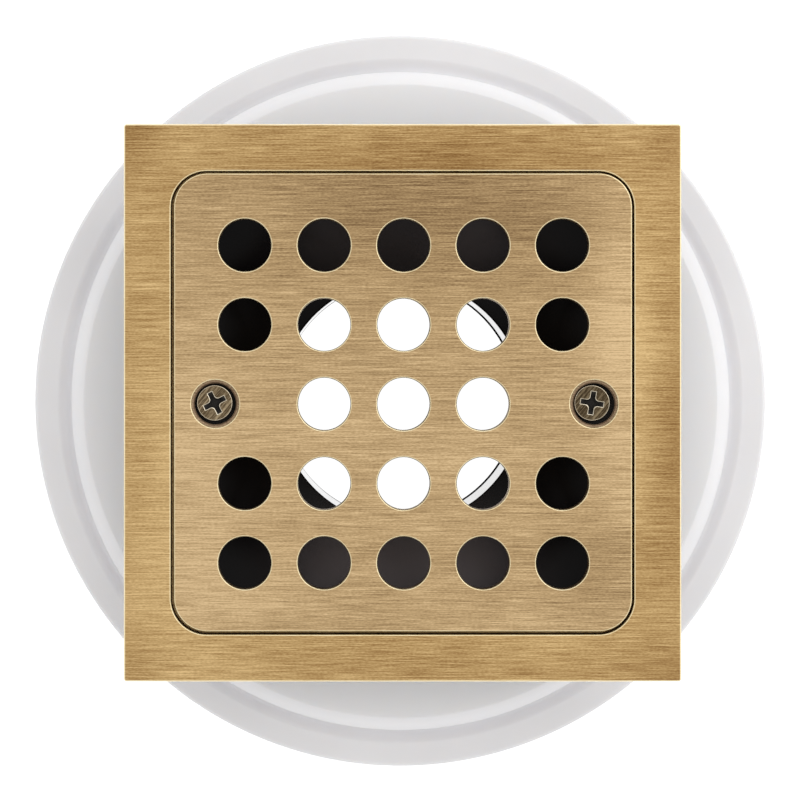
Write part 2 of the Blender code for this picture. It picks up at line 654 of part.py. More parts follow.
def make_grate_screw(name, material, x, turn):
    profile = [
        (SCREW_NECK_RADIUS - EDGE_BREAK, SCREW_TIP),
        (SCREW_NECK_RADIUS, SCREW_TIP + EDGE_BREAK / 2),
        (SCREW_NECK_RADIUS, SCREW_THREAD_TOP),
        (SCREW_NECK_RADIUS, 0),
        (SCREW_HEAD_RADIUS, 0),
        (SCREW_HEAD_RADIUS, SCREW_HEAD_HEIGHT - EDGE_BREAK),
        (SCREW_HEAD_RADIUS - EDGE_BREAK, SCREW_HEAD_HEIGHT),
    ]
    thread_start = SCREW_TIP + EDGE_BREAK / 2
    thread = (SCREW_NECK_RADIUS, SCREW_CREST_RADIUS, thread_start, SCREW_PITCH, SCREW_TURNS)
    outlines = lathe_outlines(profile, SMALL_QUARTER)
    place = (x, 0, SCREW_SEAT)
    screw = make_solid(name, material, outlines, capped=True, threads={1: thread},
                       location=place, turn=turn)
    recess = bmesh.new()
    floor = SCREW_HEAD_HEIGHT - RECESS_DEPTH
    add_skin(recess, [cross(RECESS_SPAN / 2, RECESS_WIDTH / 2, floor),
                      cross(RECESS_SPAN, RECESS_WIDTH, SCREW_HEAD_HEIGHT),
                      cross(RECESS_SPAN, RECESS_WIDTH, SCREW_HEAD_HEIGHT + MM)], capped=True)
    tool = make_tool(f"{name}_recess", recess, material)
    tool.location = screw.location
    tool.rotation_euler = screw.rotation_euler
    combine(screw, tool, "DIFFERENCE")
    return screw, tool


def make_retaining_washer(name, material, x):
    low = SCREW_THREAD_TOP + CLEARANCE / 2
    high = low + RETAINING_THICKNESS
    inner = SCREW_NECK_RADIUS + CLEARANCE
    profile = [(inner, low), (inner, high), (RETAINING_RADIUS, high), (RETAINING_RADIUS, low)]
    outlines = lathe_outlines(profile, SMALL_QUARTER)
    return make_solid(name, material, outlines, location=(x, 0, SCREW_SEAT))


def build():
    clear_scene()
    pvc = make_material("white_pvc", (0.80, 0.80, 0.83), 0.45, 0.0)
    abs_black = make_material("black_abs", (0.012, 0.012, 0.013), 0.25, 0.0)
    rubber = make_material("black_rubber", (0.02, 0.02, 0.02), 0.85, 0.0)
    brass = make_material("aged_brass", (0.52, 0.34, 0.15), 0.42, 1.0)
    plain_brass = make_material("plain_brass", (0.60, 0.43, 0.18), 0.35, 1.0)
    bronze = make_material("bronze_screw", (0.28, 0.18, 0.10), 0.40, 1.0)
    steel = make_material("stainless_steel", (0.55, 0.55, 0.56), 0.35, 1.0)

    make_base(pvc)
    make_membrane_gasket(rubber)
    make_collar(pvc)
    make_clamp_hardware(steel, plain_brass)

    riser = make_joint_empty("riser_axis", (0, 0, NECK_TOP))
    barrel_axis = make_joint_empty("barrel_axis", (0, 0, NECK_TOP))
    grate_lift = make_joint_empty("grate_lift_axis", (0, 0, GRATE_BOTTOM))
    attach([make_neck_gasket(rubber), barrel_axis], riser)
    fixed_on_barrel = [make_barrel(abs_black), make_frame(brass)]
    fixed_on_barrel += make_frame_screws(steel) + make_grate_inserts(plain_brass)
    attach(fixed_on_barrel + [grate_lift], barrel_axis)
    attach([make_grate(brass)], grate_lift)
    for side, name, turn in ((-1, "left", 21), (1, "right", -10)):
        x = side * SCREW_SPACING / 2
        washer = make_retaining_washer(f"retaining_washer_{name}", steel, x)
        screw, recess = make_grate_screw(f"grate_screw_{name}", bronze, x, turn)
        attach([washer], grate_lift)
        attach([screw], washer)
        attach([recess], screw)


build()
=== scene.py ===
import math

import bmesh
import bpy
from mathutils import Matrix, Vector


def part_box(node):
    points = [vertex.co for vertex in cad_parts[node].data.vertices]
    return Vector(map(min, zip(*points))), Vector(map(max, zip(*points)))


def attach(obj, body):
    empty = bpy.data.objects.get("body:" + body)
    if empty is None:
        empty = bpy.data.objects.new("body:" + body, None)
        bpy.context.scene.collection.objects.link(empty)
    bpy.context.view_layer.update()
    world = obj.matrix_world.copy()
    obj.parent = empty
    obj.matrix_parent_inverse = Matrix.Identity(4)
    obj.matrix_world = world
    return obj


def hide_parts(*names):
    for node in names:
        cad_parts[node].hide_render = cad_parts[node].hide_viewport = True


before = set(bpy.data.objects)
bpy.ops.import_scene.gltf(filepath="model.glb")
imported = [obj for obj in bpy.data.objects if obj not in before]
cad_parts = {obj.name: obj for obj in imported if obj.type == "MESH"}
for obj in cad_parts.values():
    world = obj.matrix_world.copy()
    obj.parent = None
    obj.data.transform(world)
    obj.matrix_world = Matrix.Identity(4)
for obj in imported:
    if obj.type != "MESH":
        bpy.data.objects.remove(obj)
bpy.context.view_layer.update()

# Everything is in metres. Main sizes are read from the CAD boxes, and the rest are given in MM.
MM = 0.001
frame_low, frame_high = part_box("grate_frame")
grate_low, grate_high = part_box("grate")
barrel_low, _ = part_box("strainer_barrel")
_, base_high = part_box("drain_base")
collar_low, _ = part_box("clamping_collar")

# The brass frame is a little wider here than in the CAD.
FRAME_GROWTH = 0.22 * MM
FRAME_HALF = frame_high[0] + FRAME_GROWTH
FRAME_TOP = frame_high[2]
FRAME_BOTTOM = frame_low[2]
GRATE_HALF = grate_high[0]
GRATE_BOTTOM = grate_low[2]
BARREL_BOTTOM = barrel_low[2]
CLEARANCE = 0.3 * MM
PAN_TOP = FRAME_BOTTOM - CLEARANCE
COLLAR_BOTTOM = collar_low[2]
RIM_TOP = base_high[2]

# Frame and grate
OPENING_HALF = 45.05 * MM
OPENING_CORNER = 7.0 * MM
GRATE_CORNER = 6.55 * MM
FRAME_CORNER = 0.55 * MM
LEDGE_TOP = GRATE_BOTTOM - CLEARANCE
LEDGE_HALF = 40.4 * MM
LEDGE_CORNER = 5.0 * MM
EDGE_BREAK = 0.3 * MM
SMALLEST_CORNER = 0.02 * MM
HOLE_PITCH = 15.45 * MM
HOLE_RADIUS = 5.11 * MM
HOLE_REACH = 2
POCKET_DEPTH = 2.4 * MM
POCKET_TOP_RADIUS = 4.6 * MM
POCKET_CONE_RADIUS = 4.0 * MM
POCKET_CONE_DEPTH = 0.95 * MM
POCKET_STEP_RADIUS = 4.25 * MM
POCKET_STEP_DEPTH = 0.42 * MM
POCKET_FLOOR_RADIUS = 3.95 * MM
SHANK_HOLE_RADIUS = 2.3 * MM

# How far the grate, its holes, its pockets and its screws sit from their nominal places
GRATE_SHIFT = Vector((0.09 * MM, 0.08 * MM, 0))
HOLE_SHIFT = Vector((0.12 * MM, -0.31 * MM, 0))
POCKET_SHIFT = Vector((0.32 * MM, -0.28 * MM, 0))
SCREW_SHIFT = Vector((0.17 * MM, -0.03 * MM, 0))
SCREW_INSET = 0.12 * MM

# Screws
SCREW_X = 36.85 * MM
SCREW_HEAD_RADIUS = 3.45 * MM
SCREW_HEAD_HEIGHT = 1.4 * MM
SCREW_NECK_RADIUS = 1.35 * MM
SCREW_CREST_RADIUS = 1.95 * MM
SCREW_THREAD_TOP = -7.0 * MM
SCREW_TIP = -10.9 * MM
SCREW_TIP_HEIGHT = 0.15 * MM
SCREW_TIP_TAPER = 0.3 * MM
SCREW_PITCH = 0.7 * MM
SCREW_TURNS = 4
RECESS_SPAN = 4.7 * MM
RECESS_WIDTH = 1.2 * MM
RECESS_DEPTH = 1.0 * MM
RECESS_TAPER = 0.5
RECESS_EDGE = 0.11 * MM
RECESS_FILLET = 0.65 * MM
HEAD_EDGE = 0.14 * MM
SCREW_SEAT = FRAME_TOP - POCKET_DEPTH + CLEARANCE
SCREW_TURN = {"left": 26, "right": -9}
SCREW_SIDE = {"left": -1, "right": 1}

# Barrel
PAN_WALL = 3.0 * MM
PAN_FLANGE_HALF = 51.5 * MM
PAN_FLANGE_CORNER = 5.0 * MM
PAN_FLOOR_EDGE = 64.0 * MM
PAN_TAPER = 1.0 * MM
THROAT_RADIUS = 24.35 * MM
THROAT_TOP = 58.5 * MM
THROAT_ROUND = 0.4 * MM
BORE_BEAD = 0.12 * MM
BEAD_SHIFT = 0.1 * MM
NECK_TOP = 55.0 * MM
NECK_SHOULDER_RADIUS = 33.0 * MM
CORE_RADIUS = 28.0 * MM
THREAD_DEPTH = 1.2 * MM
THREAD_PITCH = 3.0 * MM
THREAD_START = 28.2 * MM
BARREL_TURNS = 7
BOSS_RADIUS = 5.2 * MM
BOSS_TOP = 65.5 * MM
BOSS_BOTTOM = 57.0 * MM
BOSS_BORE = 3.6 * MM
BOSS_BORE_BOTTOM = 60.5 * MM
FRAME_SCREW_OFFSET = 47.3 * MM
FRAME_SCREW_HOLE = 1.8 * MM
FRAME_SCREW_DEPTH = 5.3 * MM

# Base and collar
FLANGE_RADIUS = base_high[0]
RIM_INNER_RADIUS = 69.6 * MM
RIM_EDGE = 0.7 * MM
HUB_FILLET = 1.6 * MM
SEAT_HEIGHT = 37.0 * MM
SEAT_RADIUS = 64.5 * MM
GROOVE_FLOOR = 38.6 * MM
GROOVE_RADIUS = 67.2 * MM
CHAMBER_RADIUS = 31.2 * MM
FLANGE_BOTTOM = 33.0 * MM
FOOT_BOTTOM = 32.4 * MM
FOOT_INNER_RADIUS = 66.0 * MM
HUB_RADIUS = 35.0 * MM
SOCKET_RADIUS = 30.35 * MM
SOCKET_DEPTH = 20.0 * MM
PIPE_STOP_RADIUS = 29.0 * MM
CHAMBER_FLOOR = 22.0 * MM
RIB_COUNT = 8
RIB_THICKNESS = 3.0 * MM
RIB_REACH = 51.0 * MM
RIB_DROP = 11.0 * MM
CHAMFER = 0.6 * MM
COLLAR_RADIUS = 66.6 * MM
COLLAR_BEVEL = 2.5 * MM
COLLAR_SOFT_EDGE = 0.25 * MM
COLLAR_TOP = 45.0 * MM
COLLAR_HUB_RADIUS = 34.0 * MM
COLLAR_HUB_TOP = 49.0 * MM
COLLAR_THREAD_OFFSET = 3.5
COLLAR_THREAD_START = THREAD_START + COLLAR_THREAD_OFFSET * THREAD_PITCH
COLLAR_TURNS = 2
THREAD_CLEARANCE = 0.35 * MM
BOLT_CIRCLE = 56.0 * MM
BOLT_HOLE_RADIUS = 2.9 * MM
COUNTERBORE_RADIUS = 6.2 * MM
COUNTERBORE_FLOOR = 41.6 * MM
BOLT_BOSS_RADIUS = 7.5 * MM
BOLT_BOSS_BOTTOM = 24.0 * MM
INSERT_HOLE_RADIUS = 4.5 * MM
INSERT_POCKET_TOP = 32.0 * MM
WEEP_RADIUS = 2.0 * MM
WEEP_CIRCLE = 40.0 * MM

# Points of a quarter ring
FINE_QUARTER = 48
ROUND_QUARTER = 32
PLATE_QUARTER = 24
HOLE_QUARTER = 16
SMALL_QUARTER = 8

# Steps of a rounded edge
GROOVE_STEPS = 14
RIM_STEPS = 8
FILLET_STEPS = 6
RECESS_STEPS = 5
SOFT_STEPS = 4
HEAD_STEPS = 3

# How far a cutting tool goes past the face it opens, and how closely a face is picked out by its place
CUT_PAST = 1.0 * MM
FACE_MARGIN = 0.1 * MM
FACE_TOLERANCE = 0.01 * MM

# Faces are told apart by the Z of their normal
UPRIGHT = 0.1
TILTED = 0.2
FACING_UP = 0.5
STEEP = 0.9
BEVELLED = 0.99
NEARLY_FLAT = 0.999
FLAT = 0.9999

# Edges sharper than this, in degrees, stay sharp
SMOOTH_ANGLE = 32

# One turn of a screw thread: share of the pitch, and height from root (0) to crest (1)
THREAD_PROFILE = ((0.2, 0.0), (0.26, 0.12), (0.38, 0.9), (0.42, 1.0), (0.58, 1.0), (0.62, 0.9),
                  (0.74, 0.12), (0.8, 0.0))
THREAD_RUNOUT = 0.4

# A worn edge: how far in from the wall and how far below the face, from the wall to the face
WORN_EDGE = ((0.0, 0.3 * MM), (0.05 * MM, 0.13 * MM), (0.13 * MM, 0.035 * MM), (0.26 * MM, 0.0))

# Camera: straight down, high above the frame and a little to its upper left
CAMERA_HEIGHT = 0.8
CAMERA_X = -11.0 * MM
CAMERA_Y = 9.0 * MM
VIEW_WIDTH = 155.6 * MM
SENSOR = 36.0
FRAME_OFF_CENTRE_X = 0.5 * MM
FRAME_OFF_CENTRE_Y = -0.55 * MM


# Outlines

def circle(radius, height, quarter):
    """A level ring around the Z axis with no point on the X or Y axis."""
    count = 4 * quarter
    angles = [2 * math.pi * (index + 0.5) / count for index in range(count)]
    return [Vector((radius * math.cos(a), radius * math.sin(a), height)) for a in angles]


def rounded_square(half, corner, height, quarter):
    """A level square with round corners, given by half its width."""
    points = []
    for side in range(4):
        middle = math.radians(90 * side + 45)
        centre = Vector((math.cos(middle), math.sin(middle), 0)) * (half - corner) * math.sqrt(2)
        for step in range(quarter):
            angle = math.radians(90 * side + 90 * step / (quarter - 1))
            arm = Vector((math.cos(angle), math.sin(angle), 0)) * corner
            points.append(centre + arm + Vector((0, 0, height)))
    return points


def cross(span, width, fillet, height):
    """A Phillips recess seen from above: four arms with rounded corners between them."""
    arm = span / 2
    side = width / 2
    inner_corner = arc_profile(side + fillet, side + fillet, fillet, 270, 180, RECESS_STEPS)
    quadrant = [(arm, side)] + inner_corner + [(side, arm)]
    points = []
    for turn in range(4):
        cosine = round(math.cos(math.pi / 2 * turn))
        sine = round(math.sin(math.pi / 2 * turn))
        points += [Vector((x * cosine - y * sine, x * sine + y * cosine, height)) for x, y in quadrant]
    return points


def lathe_outlines(profile, quarter):
    """One ring for each radius and height of a profile."""
    return [circle(radius, height, quarter) for radius, height in profile]


def arc_profile(centre_radius, centre_height, radius, start, end, steps):
    """Part of a profile that runs along an arc, with its angles in degrees."""
    points = []
    for step in range(steps + 1):
        angle = math.radians(start + (end - start) * step / steps)
        points.append((centre_radius + radius * math.cos(angle),
                       centre_height + radius * math.sin(angle)))
    return points


# Solids

def bridge(mesh, lower, upper):
    """Join two rings that have the same number of points."""
    count = len(lower)
    for index in range(count):
        following = (index + 1) % count
        mesh.faces.new((lower[index], lower[following], upper[following], upper[index]))


def bridge_with_thread(mesh, lower, upper, thread):
    """Join two rings with a right-hand screw thread that runs out at both ends.

    The thread is given by its root and crest radius, the height of its start, its pitch and its turns.
    """
    root, crest, start, pitch, turns = thread
    count = len(lower)
    step_count = len(THREAD_PROFILE)
    last_row = turns * step_count
    columns = []
    for column_index in range(count):
        share = column_index / count
        angle = 2 * math.pi * (column_index + 0.5) / count
        column = []
        for row in range(last_row + 1):
            turn, step = divmod(row, step_count)
            phase, rise = THREAD_PROFILE[step]
            along = turn + share
            fade = min(1.0, along / THREAD_RUNOUT, max(0.0, (turns - along) / THREAD_RUNOUT))
            radius = root + (crest - root) * rise * fade
            height = start + pitch * (turn + phase + share)
            column.append(mesh.verts.new((radius * math.cos(angle), radius * math.sin(angle), height)))
        columns.append(column)
    for here, following, low, high in zip(columns, columns[1:], range(count), range(1, count)):
        mesh.faces.new((lower[low], lower[high], following[0], here[0]))
        for row in range(last_row):
            mesh.faces.new((here[row], following[row], following[row + 1], here[row + 1]))
        mesh.faces.new((here[-1], following[-1], upper[high], upper[low]))
    first = columns[0]
    last = columns[-1]
    mesh.faces.new((lower[-1], lower[0], first[0], last[0]))
    for row in range(step_count):
        mesh.faces.new((last[0], first[row], first[row + 1]))
    for row in range(last_row - step_count):
        mesh.faces.new((last[row], first[row + step_count], first[row + step_count + 1], last[row + 1]))
    for row in range(last_row - step_count, last_row):
        mesh.faces.new((last[row], first[-1], last[row + 1]))
    mesh.faces.new((last[-1], first[-1], upper[0], upper[-1]))


def add_skin(mesh, outlines, capped=False, threads=None):
    """Close a skin over a row of rings, with caps at its ends or joined up from last to first.

    A thread can stand between a ring and the next one, under the number of the first of the two.
    """
    rings = [[mesh.verts.new(point) for point in outline] for outline in outlines]
    threads = threads or {}
    for index, (lower, upper) in enumerate(zip(rings, rings[1:])):
        if index in threads:
            bridge_with_thread(mesh, lower, upper, threads[index])
        else:
            bridge(mesh, lower, upper)
    if capped:
        mesh.faces.new(rings[0])
        mesh.faces.new(rings[-1])
    else:
        bridge(mesh, rings[-1], rings[0])


def add_lathe(mesh, profile, x, y, quarter):
    """A capped round solid around an upright axis at x and y."""
    shift = Vector((x, y, 0))
    outlines = [[point + shift for point in outline] for outline in lathe_outlines(profile, quarter)]
    add_skin(mesh, outlines, capped=True)


def to_object(name, mesh):
    """Turn a mesh under construction into an object in the scene."""
    bmesh.ops.recalc_face_normals(mesh, faces=mesh.faces[:])
    data = bpy.data.meshes.new(name)
    mesh.to_mesh(data)
    mesh.free()
    item = bpy.data.objects.new(name, data)
    bpy.context.collection.objects.link(item)
    return item


def apply_boolean(target, mesh, operation):
    """Join or cut target with the solids in mesh, and leave plain geometry."""
    tool = to_object("tool", mesh)
    modifier = target.modifiers.new("boolean", "BOOLEAN")
    modifier.operation = operation
    modifier.solver = "EXACT"
    modifier.object = tool
    bpy.context.view_layer.update()
    evaluated = target.evaluated_get(bpy.context.evaluated_depsgraph_get())
    result = bpy.data.meshes.new_from_object(evaluated)
    target.modifiers.clear()
    target.data = result
    bpy.data.objects.remove(tool, do_unlink=True)


def finish_piece(item, body, nodes, materials):
    """Shade a piece, give it its materials, tie it to its body, and hide the CAD nodes it stands for."""
    # Clearing the materials also resets the slot of each face, so the slots are kept and set again.
    slots = [polygon.material_index for polygon in item.data.polygons]
    item.data.materials.clear()
    for material in materials:
        item.data.materials.append(material)
    item.data.polygons.foreach_set("material_index", slots)
    item.data.shade_smooth()
    item.data.set_sharp_from_angle(angle=math.radians(SMOOTH_ANGLE))
    for polygon in item.data.polygons:
        if abs(polygon.normal.z) > FLAT:
            polygon.use_smooth = False
    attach(item, body)
    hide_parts(*nodes)


def mark_faces(item, index, test):
    """Give the faces that pass the test another material slot."""
    for polygon in item.data.polygons:
        if test(polygon.normal, polygon.center):
            polygon.material_index = index


def bolt_positions():
    """Where the four clamping bolts stand."""
    angles = [math.radians(45 + 90 * index) for index in range(4)]
    return [(BOLT_CIRCLE * math.cos(a), BOLT_CIRCLE * math.sin(a)) for a in angles]


def corner_positions(offset):
    """The four corners of a square around the Z axis."""
    return [(offset * x, offset * y) for x, y in ((1, 1), (-1, 1), (-1, -1), (1, -1))]


# Material nodes

BLEND_ENDS = (0.3, 0.7)
SIDE_FACING = 0.72


class Nodes:
    """A short way to build a material's node tree."""

    def __init__(self, name):
        self.material = bpy.data.materials.new(name)
        self.material.use_nodes = True
        self.tree = self.material.node_tree
        self.shader = self.tree.nodes["Principled BSDF"]

    def link(self, source, target):
        if isinstance(source, (int, float, tuple)):
            target.default_value = source
        else:
            self.tree.links.new(source, target)

    def add(self, kind, **settings):
        node = self.tree.nodes.new(kind)
        for name, value in settings.items():
            setattr(node, name, value)
        return node

    def math(self, operation, first, second=0.0, third=0.0):
        node = self.add("ShaderNodeMath", operation=operation)
        for socket, value in zip(node.inputs, (first, second, third)):
            self.link(value, socket)
        return node.outputs[0]

    def vector_math(self, operation, first, second):
        node = self.add("ShaderNodeVectorMath", operation=operation)
        self.link(first, node.inputs[0])
        self.link(second, node.inputs[1])
        return node.outputs["Vector"]

    def scaled(self, vector, scale):
        return self.vector_math("MULTIPLY", vector, scale)

    def noise(self, vector, scale, detail=2.0, roughness=0.5):
        """Noise with its own number of marks per metre along X, Y and Z."""
        node = self.add("ShaderNodeTexNoise")
        self.link(self.scaled(vector, scale), node.inputs["Vector"])
        node.inputs["Scale"].default_value = 1.0
        node.inputs["Detail"].default_value = detail
        node.inputs["Roughness"].default_value = roughness
        return node.outputs["Fac"]

    def even_noise(self, scale, detail=2.0, roughness=0.5):
        """Noise with the same number of marks per metre in every direction."""
        return self.noise(self.place(), (scale, scale, scale), detail, roughness)

    def ramp(self, factor, stops):
        node = self.add("ShaderNodeValToRGB")
        elements = node.color_ramp.elements
        while len(elements) < len(stops):
            elements.new(0.5)
        for element, (position, color) in zip(elements, stops):
            element.position = position
            element.color = (*color, 1.0)
        self.link(factor, node.inputs["Fac"])
        return node.outputs["Color"]

    def blend(self, factor, tones):
        """A colour between two tones."""
        return self.ramp(factor, tuple(zip(BLEND_ENDS, tones)))

    def bump(self, height, strength, distance):
        node = self.add("ShaderNodeBump")
        node.inputs["Strength"].default_value = strength
        node.inputs["Distance"].default_value = distance
        self.link(height, node.inputs["Height"])
        self.link(node.outputs["Normal"], self.shader.inputs["Normal"])

    def place(self):
        return self.add("ShaderNodeTexCoord").outputs["Object"]

    def set(self, **values):
        for name, value in values.items():
            socket = name.replace("_", " ").title().replace("Ior", "IOR")
            self.link(value, self.shader.inputs[socket])


def grain_vector(nodes, turn=0.0):
    """Object coordinates turned so that X runs along the brush marks on every face of a square part."""
    position = nodes.add("ShaderNodeSeparateXYZ")
    nodes.link(nodes.place(), position.inputs[0])
    normal = nodes.add("ShaderNodeSeparateXYZ")
    nodes.link(nodes.add("ShaderNodeNewGeometry").outputs["True Normal"], normal.inputs[0])
    x_facing = nodes.math("GREATER_THAN", nodes.math("ABSOLUTE", normal.outputs["X"]), SIDE_FACING)
    swap = nodes.math("SUBTRACT", position.outputs["Y"], position.outputs["X"])
    swap = nodes.math("MULTIPLY", swap, x_facing)
    turned = nodes.add("ShaderNodeCombineXYZ")
    nodes.link(nodes.math("ADD", position.outputs["X"], swap), turned.inputs["X"])
    nodes.link(nodes.math("SUBTRACT", position.outputs["Y"], swap), turned.inputs["Y"])
    nodes.link(position.outputs["Z"], turned.inputs["Z"])
    rotate = nodes.add("ShaderNodeVectorRotate", rotation_type="Z_AXIS")
    nodes.link(turned.outputs[0], rotate.inputs["Vector"])
    rotate.inputs["Angle"].default_value = math.radians(turn)
    return rotate.outputs[0]


# Clouds of patina on the frame and grate: centre, reach (all as shares of half the frame) and tone
PATINA = (
    (0.15, 0.72, 0.62, 0.30, -0.26),
    (0.45, 0.68, 0.30, 0.14, -0.09),
    (0.78, 0.28, 0.12, 0.45, 0.24),
    (-0.78, -0.20, 0.24, 0.42, 0.16),
    (-0.15, -0.20, 0.60, 0.25, 0.08),
    (0.97, -0.10, 0.08, 0.40, -0.24),
    (-0.95, -0.12, 0.08, 0.20, -0.10),
    (0.70, -0.62, 0.22, 0.16, -0.14),
    (0.80, -0.36, 0.08, 0.14, 0.09),
    (-0.72, -0.66, 0.34, 0.16, 0.16),
    (-0.98, 0.98, 0.12, 0.12, -0.22),
    (0.96, -0.96, 0.12, 0.12, -0.12),
    (-0.96, -0.96, 0.10, 0.10, -0.14),
    (-0.70, 0.95, 0.25, 0.06, 0.08),
    (0.97, 0.98, 0.08, 0.12, -0.12),
    (0.20, -0.94, 0.62, 0.07, -0.08),
    (-0.75, -0.95, 0.34, 0.08, 0.15),
    (0.45, -0.78, 0.26, 0.08, 0.13),
)

# Painted sheen: lighter patches on the floor of the black pan, standing in for reflections, in the same way
PAN_PAINTED_SHEEN = (
    (-0.20, -0.60, 0.22, 0.18, 2.6),
    (0.20, -0.60, 0.22, 0.18, 2.6),
    (-0.20, 0.62, 0.22, 0.16, 0.9),
    (0.24, 0.62, 0.22, 0.16, 1.35),
)
SHEEN_COLOR = (0.075, 0.068, 0.072)


def patches(nodes, table):
    """Sum of soft patches, each added with its own tone."""
    total = None
    for x, y, reach_x, reach_y, tone in table:
        offset = nodes.vector_math("SUBTRACT", nodes.place(), (x * FRAME_HALF, y * FRAME_HALF, FRAME_TOP))
        spread = (1 / (reach_x * FRAME_HALF), 1 / (reach_y * FRAME_HALF), 0.0)
        length = nodes.add("ShaderNodeVectorMath", operation="LENGTH")
        nodes.link(nodes.scaled(offset, spread), length.inputs[0])
        square = nodes.math("MULTIPLY", length.outputs["Value"], length.outputs["Value"])
        falloff = nodes.math("EXPONENT", nodes.math("MULTIPLY", square, -1.0))
        patch = nodes.math("MULTIPLY", falloff, tone)
        total = patch if total is None else nodes.math("ADD", total, patch)
    return total


# Marks of the brushed brass: how many per metre along X, Y and Z, detail, roughness and share in the tone
BRASS_MARKS = {
    "hair": ((150.0, 5400.0, 5400.0), 2.0, 0.6, 1.15),
    "speck": ((1500.0, 5200.0, 5200.0), 1.0, 0.5, 0.6),
    "streak": ((55.0, 3000.0, 3000.0), 2.0, 0.6, 0.75),
    "cloud": ((28.0, 160.0, 90.0), 3.0, 0.5, 0.35),
}
BRASS_TONE = 0.545
BRASS_ROUGHNESS_SPREAD = 0.18
BRUSH_STRENGTH = 0.3
BRUSH_DEPTH = 0.04 * MM


def brushed_brass(name, stops, roughness, depth=1.0, with_patina=False, turn=0.0, metallic=1.0):
    """Aged brass with fine brush marks, streaks, specks and clouds, and patina where asked for."""
    nodes = Nodes(name)
    vector = grain_vector(nodes, turn)
    tone = BRASS_TONE
    marks = {}
    for mark, (scale, detail, softness, share) in BRASS_MARKS.items():
        marks[mark] = nodes.noise(vector, scale, detail, softness)
        tone = nodes.math("MULTIPLY_ADD", nodes.math("SUBTRACT", marks[mark], 0.5), share * depth, tone)
    if with_patina:
        tone = nodes.math("ADD", tone, patches(nodes, PATINA))
    smoothest = roughness - BRASS_ROUGHNESS_SPREAD / 2
    nodes.set(base_color=nodes.ramp(tone, stops), metallic=metallic)
    nodes.set(roughness=nodes.math("MULTIPLY_ADD", marks["streak"], BRASS_ROUGHNESS_SPREAD, smoothest))
    nodes.bump(marks["hair"], BRUSH_STRENGTH, BRUSH_DEPTH)
    return nodes.material


METAL_SCRATCHES = (900.0, 900.0, 3600.0)
METAL_SCRATCH_SHARE = 0.9
METAL_STAINS = 260.0
METAL_ROUGHNESS = 0.22
METAL_ROUGHNESS_SPREAD = 0.25
METAL_SCRATCH_STRENGTH = 0.2
METAL_SCRATCH_DEPTH = 0.03 * MM


def plain_metal(name, tones):
    """Turned or rolled metal with faint scratches and stains."""
    nodes = Nodes(name)
    scratches = nodes.noise(nodes.place(), METAL_SCRATCHES, detail=4.0, roughness=0.65)
    stain = nodes.even_noise(METAL_STAINS, detail=3.0)
    tone = nodes.math("MULTIPLY_ADD", nodes.math("SUBTRACT", scratches, 0.5), METAL_SCRATCH_SHARE, stain)
    nodes.set(base_color=nodes.blend(tone, tones), metallic=1.0)
    nodes.set(roughness=nodes.math("MULTIPLY_ADD", stain, METAL_ROUGHNESS_SPREAD, METAL_ROUGHNESS))
    nodes.bump(scratches, METAL_SCRATCH_STRENGTH, METAL_SCRATCH_DEPTH)
    return nodes.material


FLOW_MARKS = (45.0, 45.0, 110.0)
FLOW_RELIEF = 0.6
PLASTIC_ROUGHNESS_SPREAD = 0.25
SKIN_STRENGTH = 0.35
GLOW_COLOR = (1.0, 0.9, 0.8)
GLOW_REACH = 3.0 * MM


def moulded_plastic(name, tones, skin, roughness, gloss=0.5, glow=0.0, sheen_patches=()):
    """Injection-moulded plastic: nearly even colour, soft flow marks and a fine skin texture."""
    texture, texture_depth = skin
    nodes = Nodes(name)
    flow = nodes.noise(nodes.place(), FLOW_MARKS, detail=3.0)
    grain = nodes.even_noise(texture, roughness=0.6)
    color = nodes.blend(flow, tones)
    # Painted sheen: lighter patches added to the colour where given
    if sheen_patches:
        color = nodes.vector_math("ADD", color, nodes.scaled(patches(nodes, sheen_patches), SHEEN_COLOR))
    spread = PLASTIC_ROUGHNESS_SPREAD * roughness
    nodes.set(base_color=color, specular_ior_level=gloss)
    nodes.set(roughness=nodes.math("MULTIPLY_ADD", flow, spread, roughness - spread / 2))
    nodes.set(subsurface_weight=glow, subsurface_radius=GLOW_COLOR, subsurface_scale=GLOW_REACH)
    nodes.bump(nodes.math("MULTIPLY_ADD", flow, FLOW_RELIEF, grain), SKIN_STRENGTH, texture_depth)
    return nodes.material


DULL_ROUGHNESS_SPREAD = 0.2
# Painted shade: near-black tones for the bottoms of the screw pockets and the screw recesses
RECESS_SHADE_TONES = ((0.004, 0.003, 0.002), (0.016, 0.012, 0.008))
RECESS_SHADE_MOTTLE = 2200.0
RECESS_SHADE_ROUGHNESS = 0.75
RECESS_SHADE_STRENGTH = 0.4
RECESS_SHADE_DEPTH = 0.06 * MM


def recess_shade_material(name):
    """Painted shade: near-black colour for the bottom of a recess, standing in for the shade there."""
    nodes = Nodes(name)
    shade_mottle = nodes.even_noise(RECESS_SHADE_MOTTLE, detail=3.0, roughness=0.6)
    nodes.set(base_color=nodes.blend(shade_mottle, RECESS_SHADE_TONES))
    nodes.set(roughness=nodes.math("MULTIPLY_ADD", shade_mottle, DULL_ROUGHNESS_SPREAD, RECESS_SHADE_ROUGHNESS))
    nodes.bump(shade_mottle, RECESS_SHADE_STRENGTH, RECESS_SHADE_DEPTH)
    return nodes.material


RUBBER_STOPS = ((0.35, (0.014, 0.014, 0.015)), (0.75, (0.035, 0.034, 0.033)))
RUBBER_DUST = 300.0
RUBBER_SKIN = 3000.0
RUBBER_ROUGHNESS = 0.65
RUBBER_STRENGTH = 0.3
RUBBER_DEPTH = 0.05 * MM


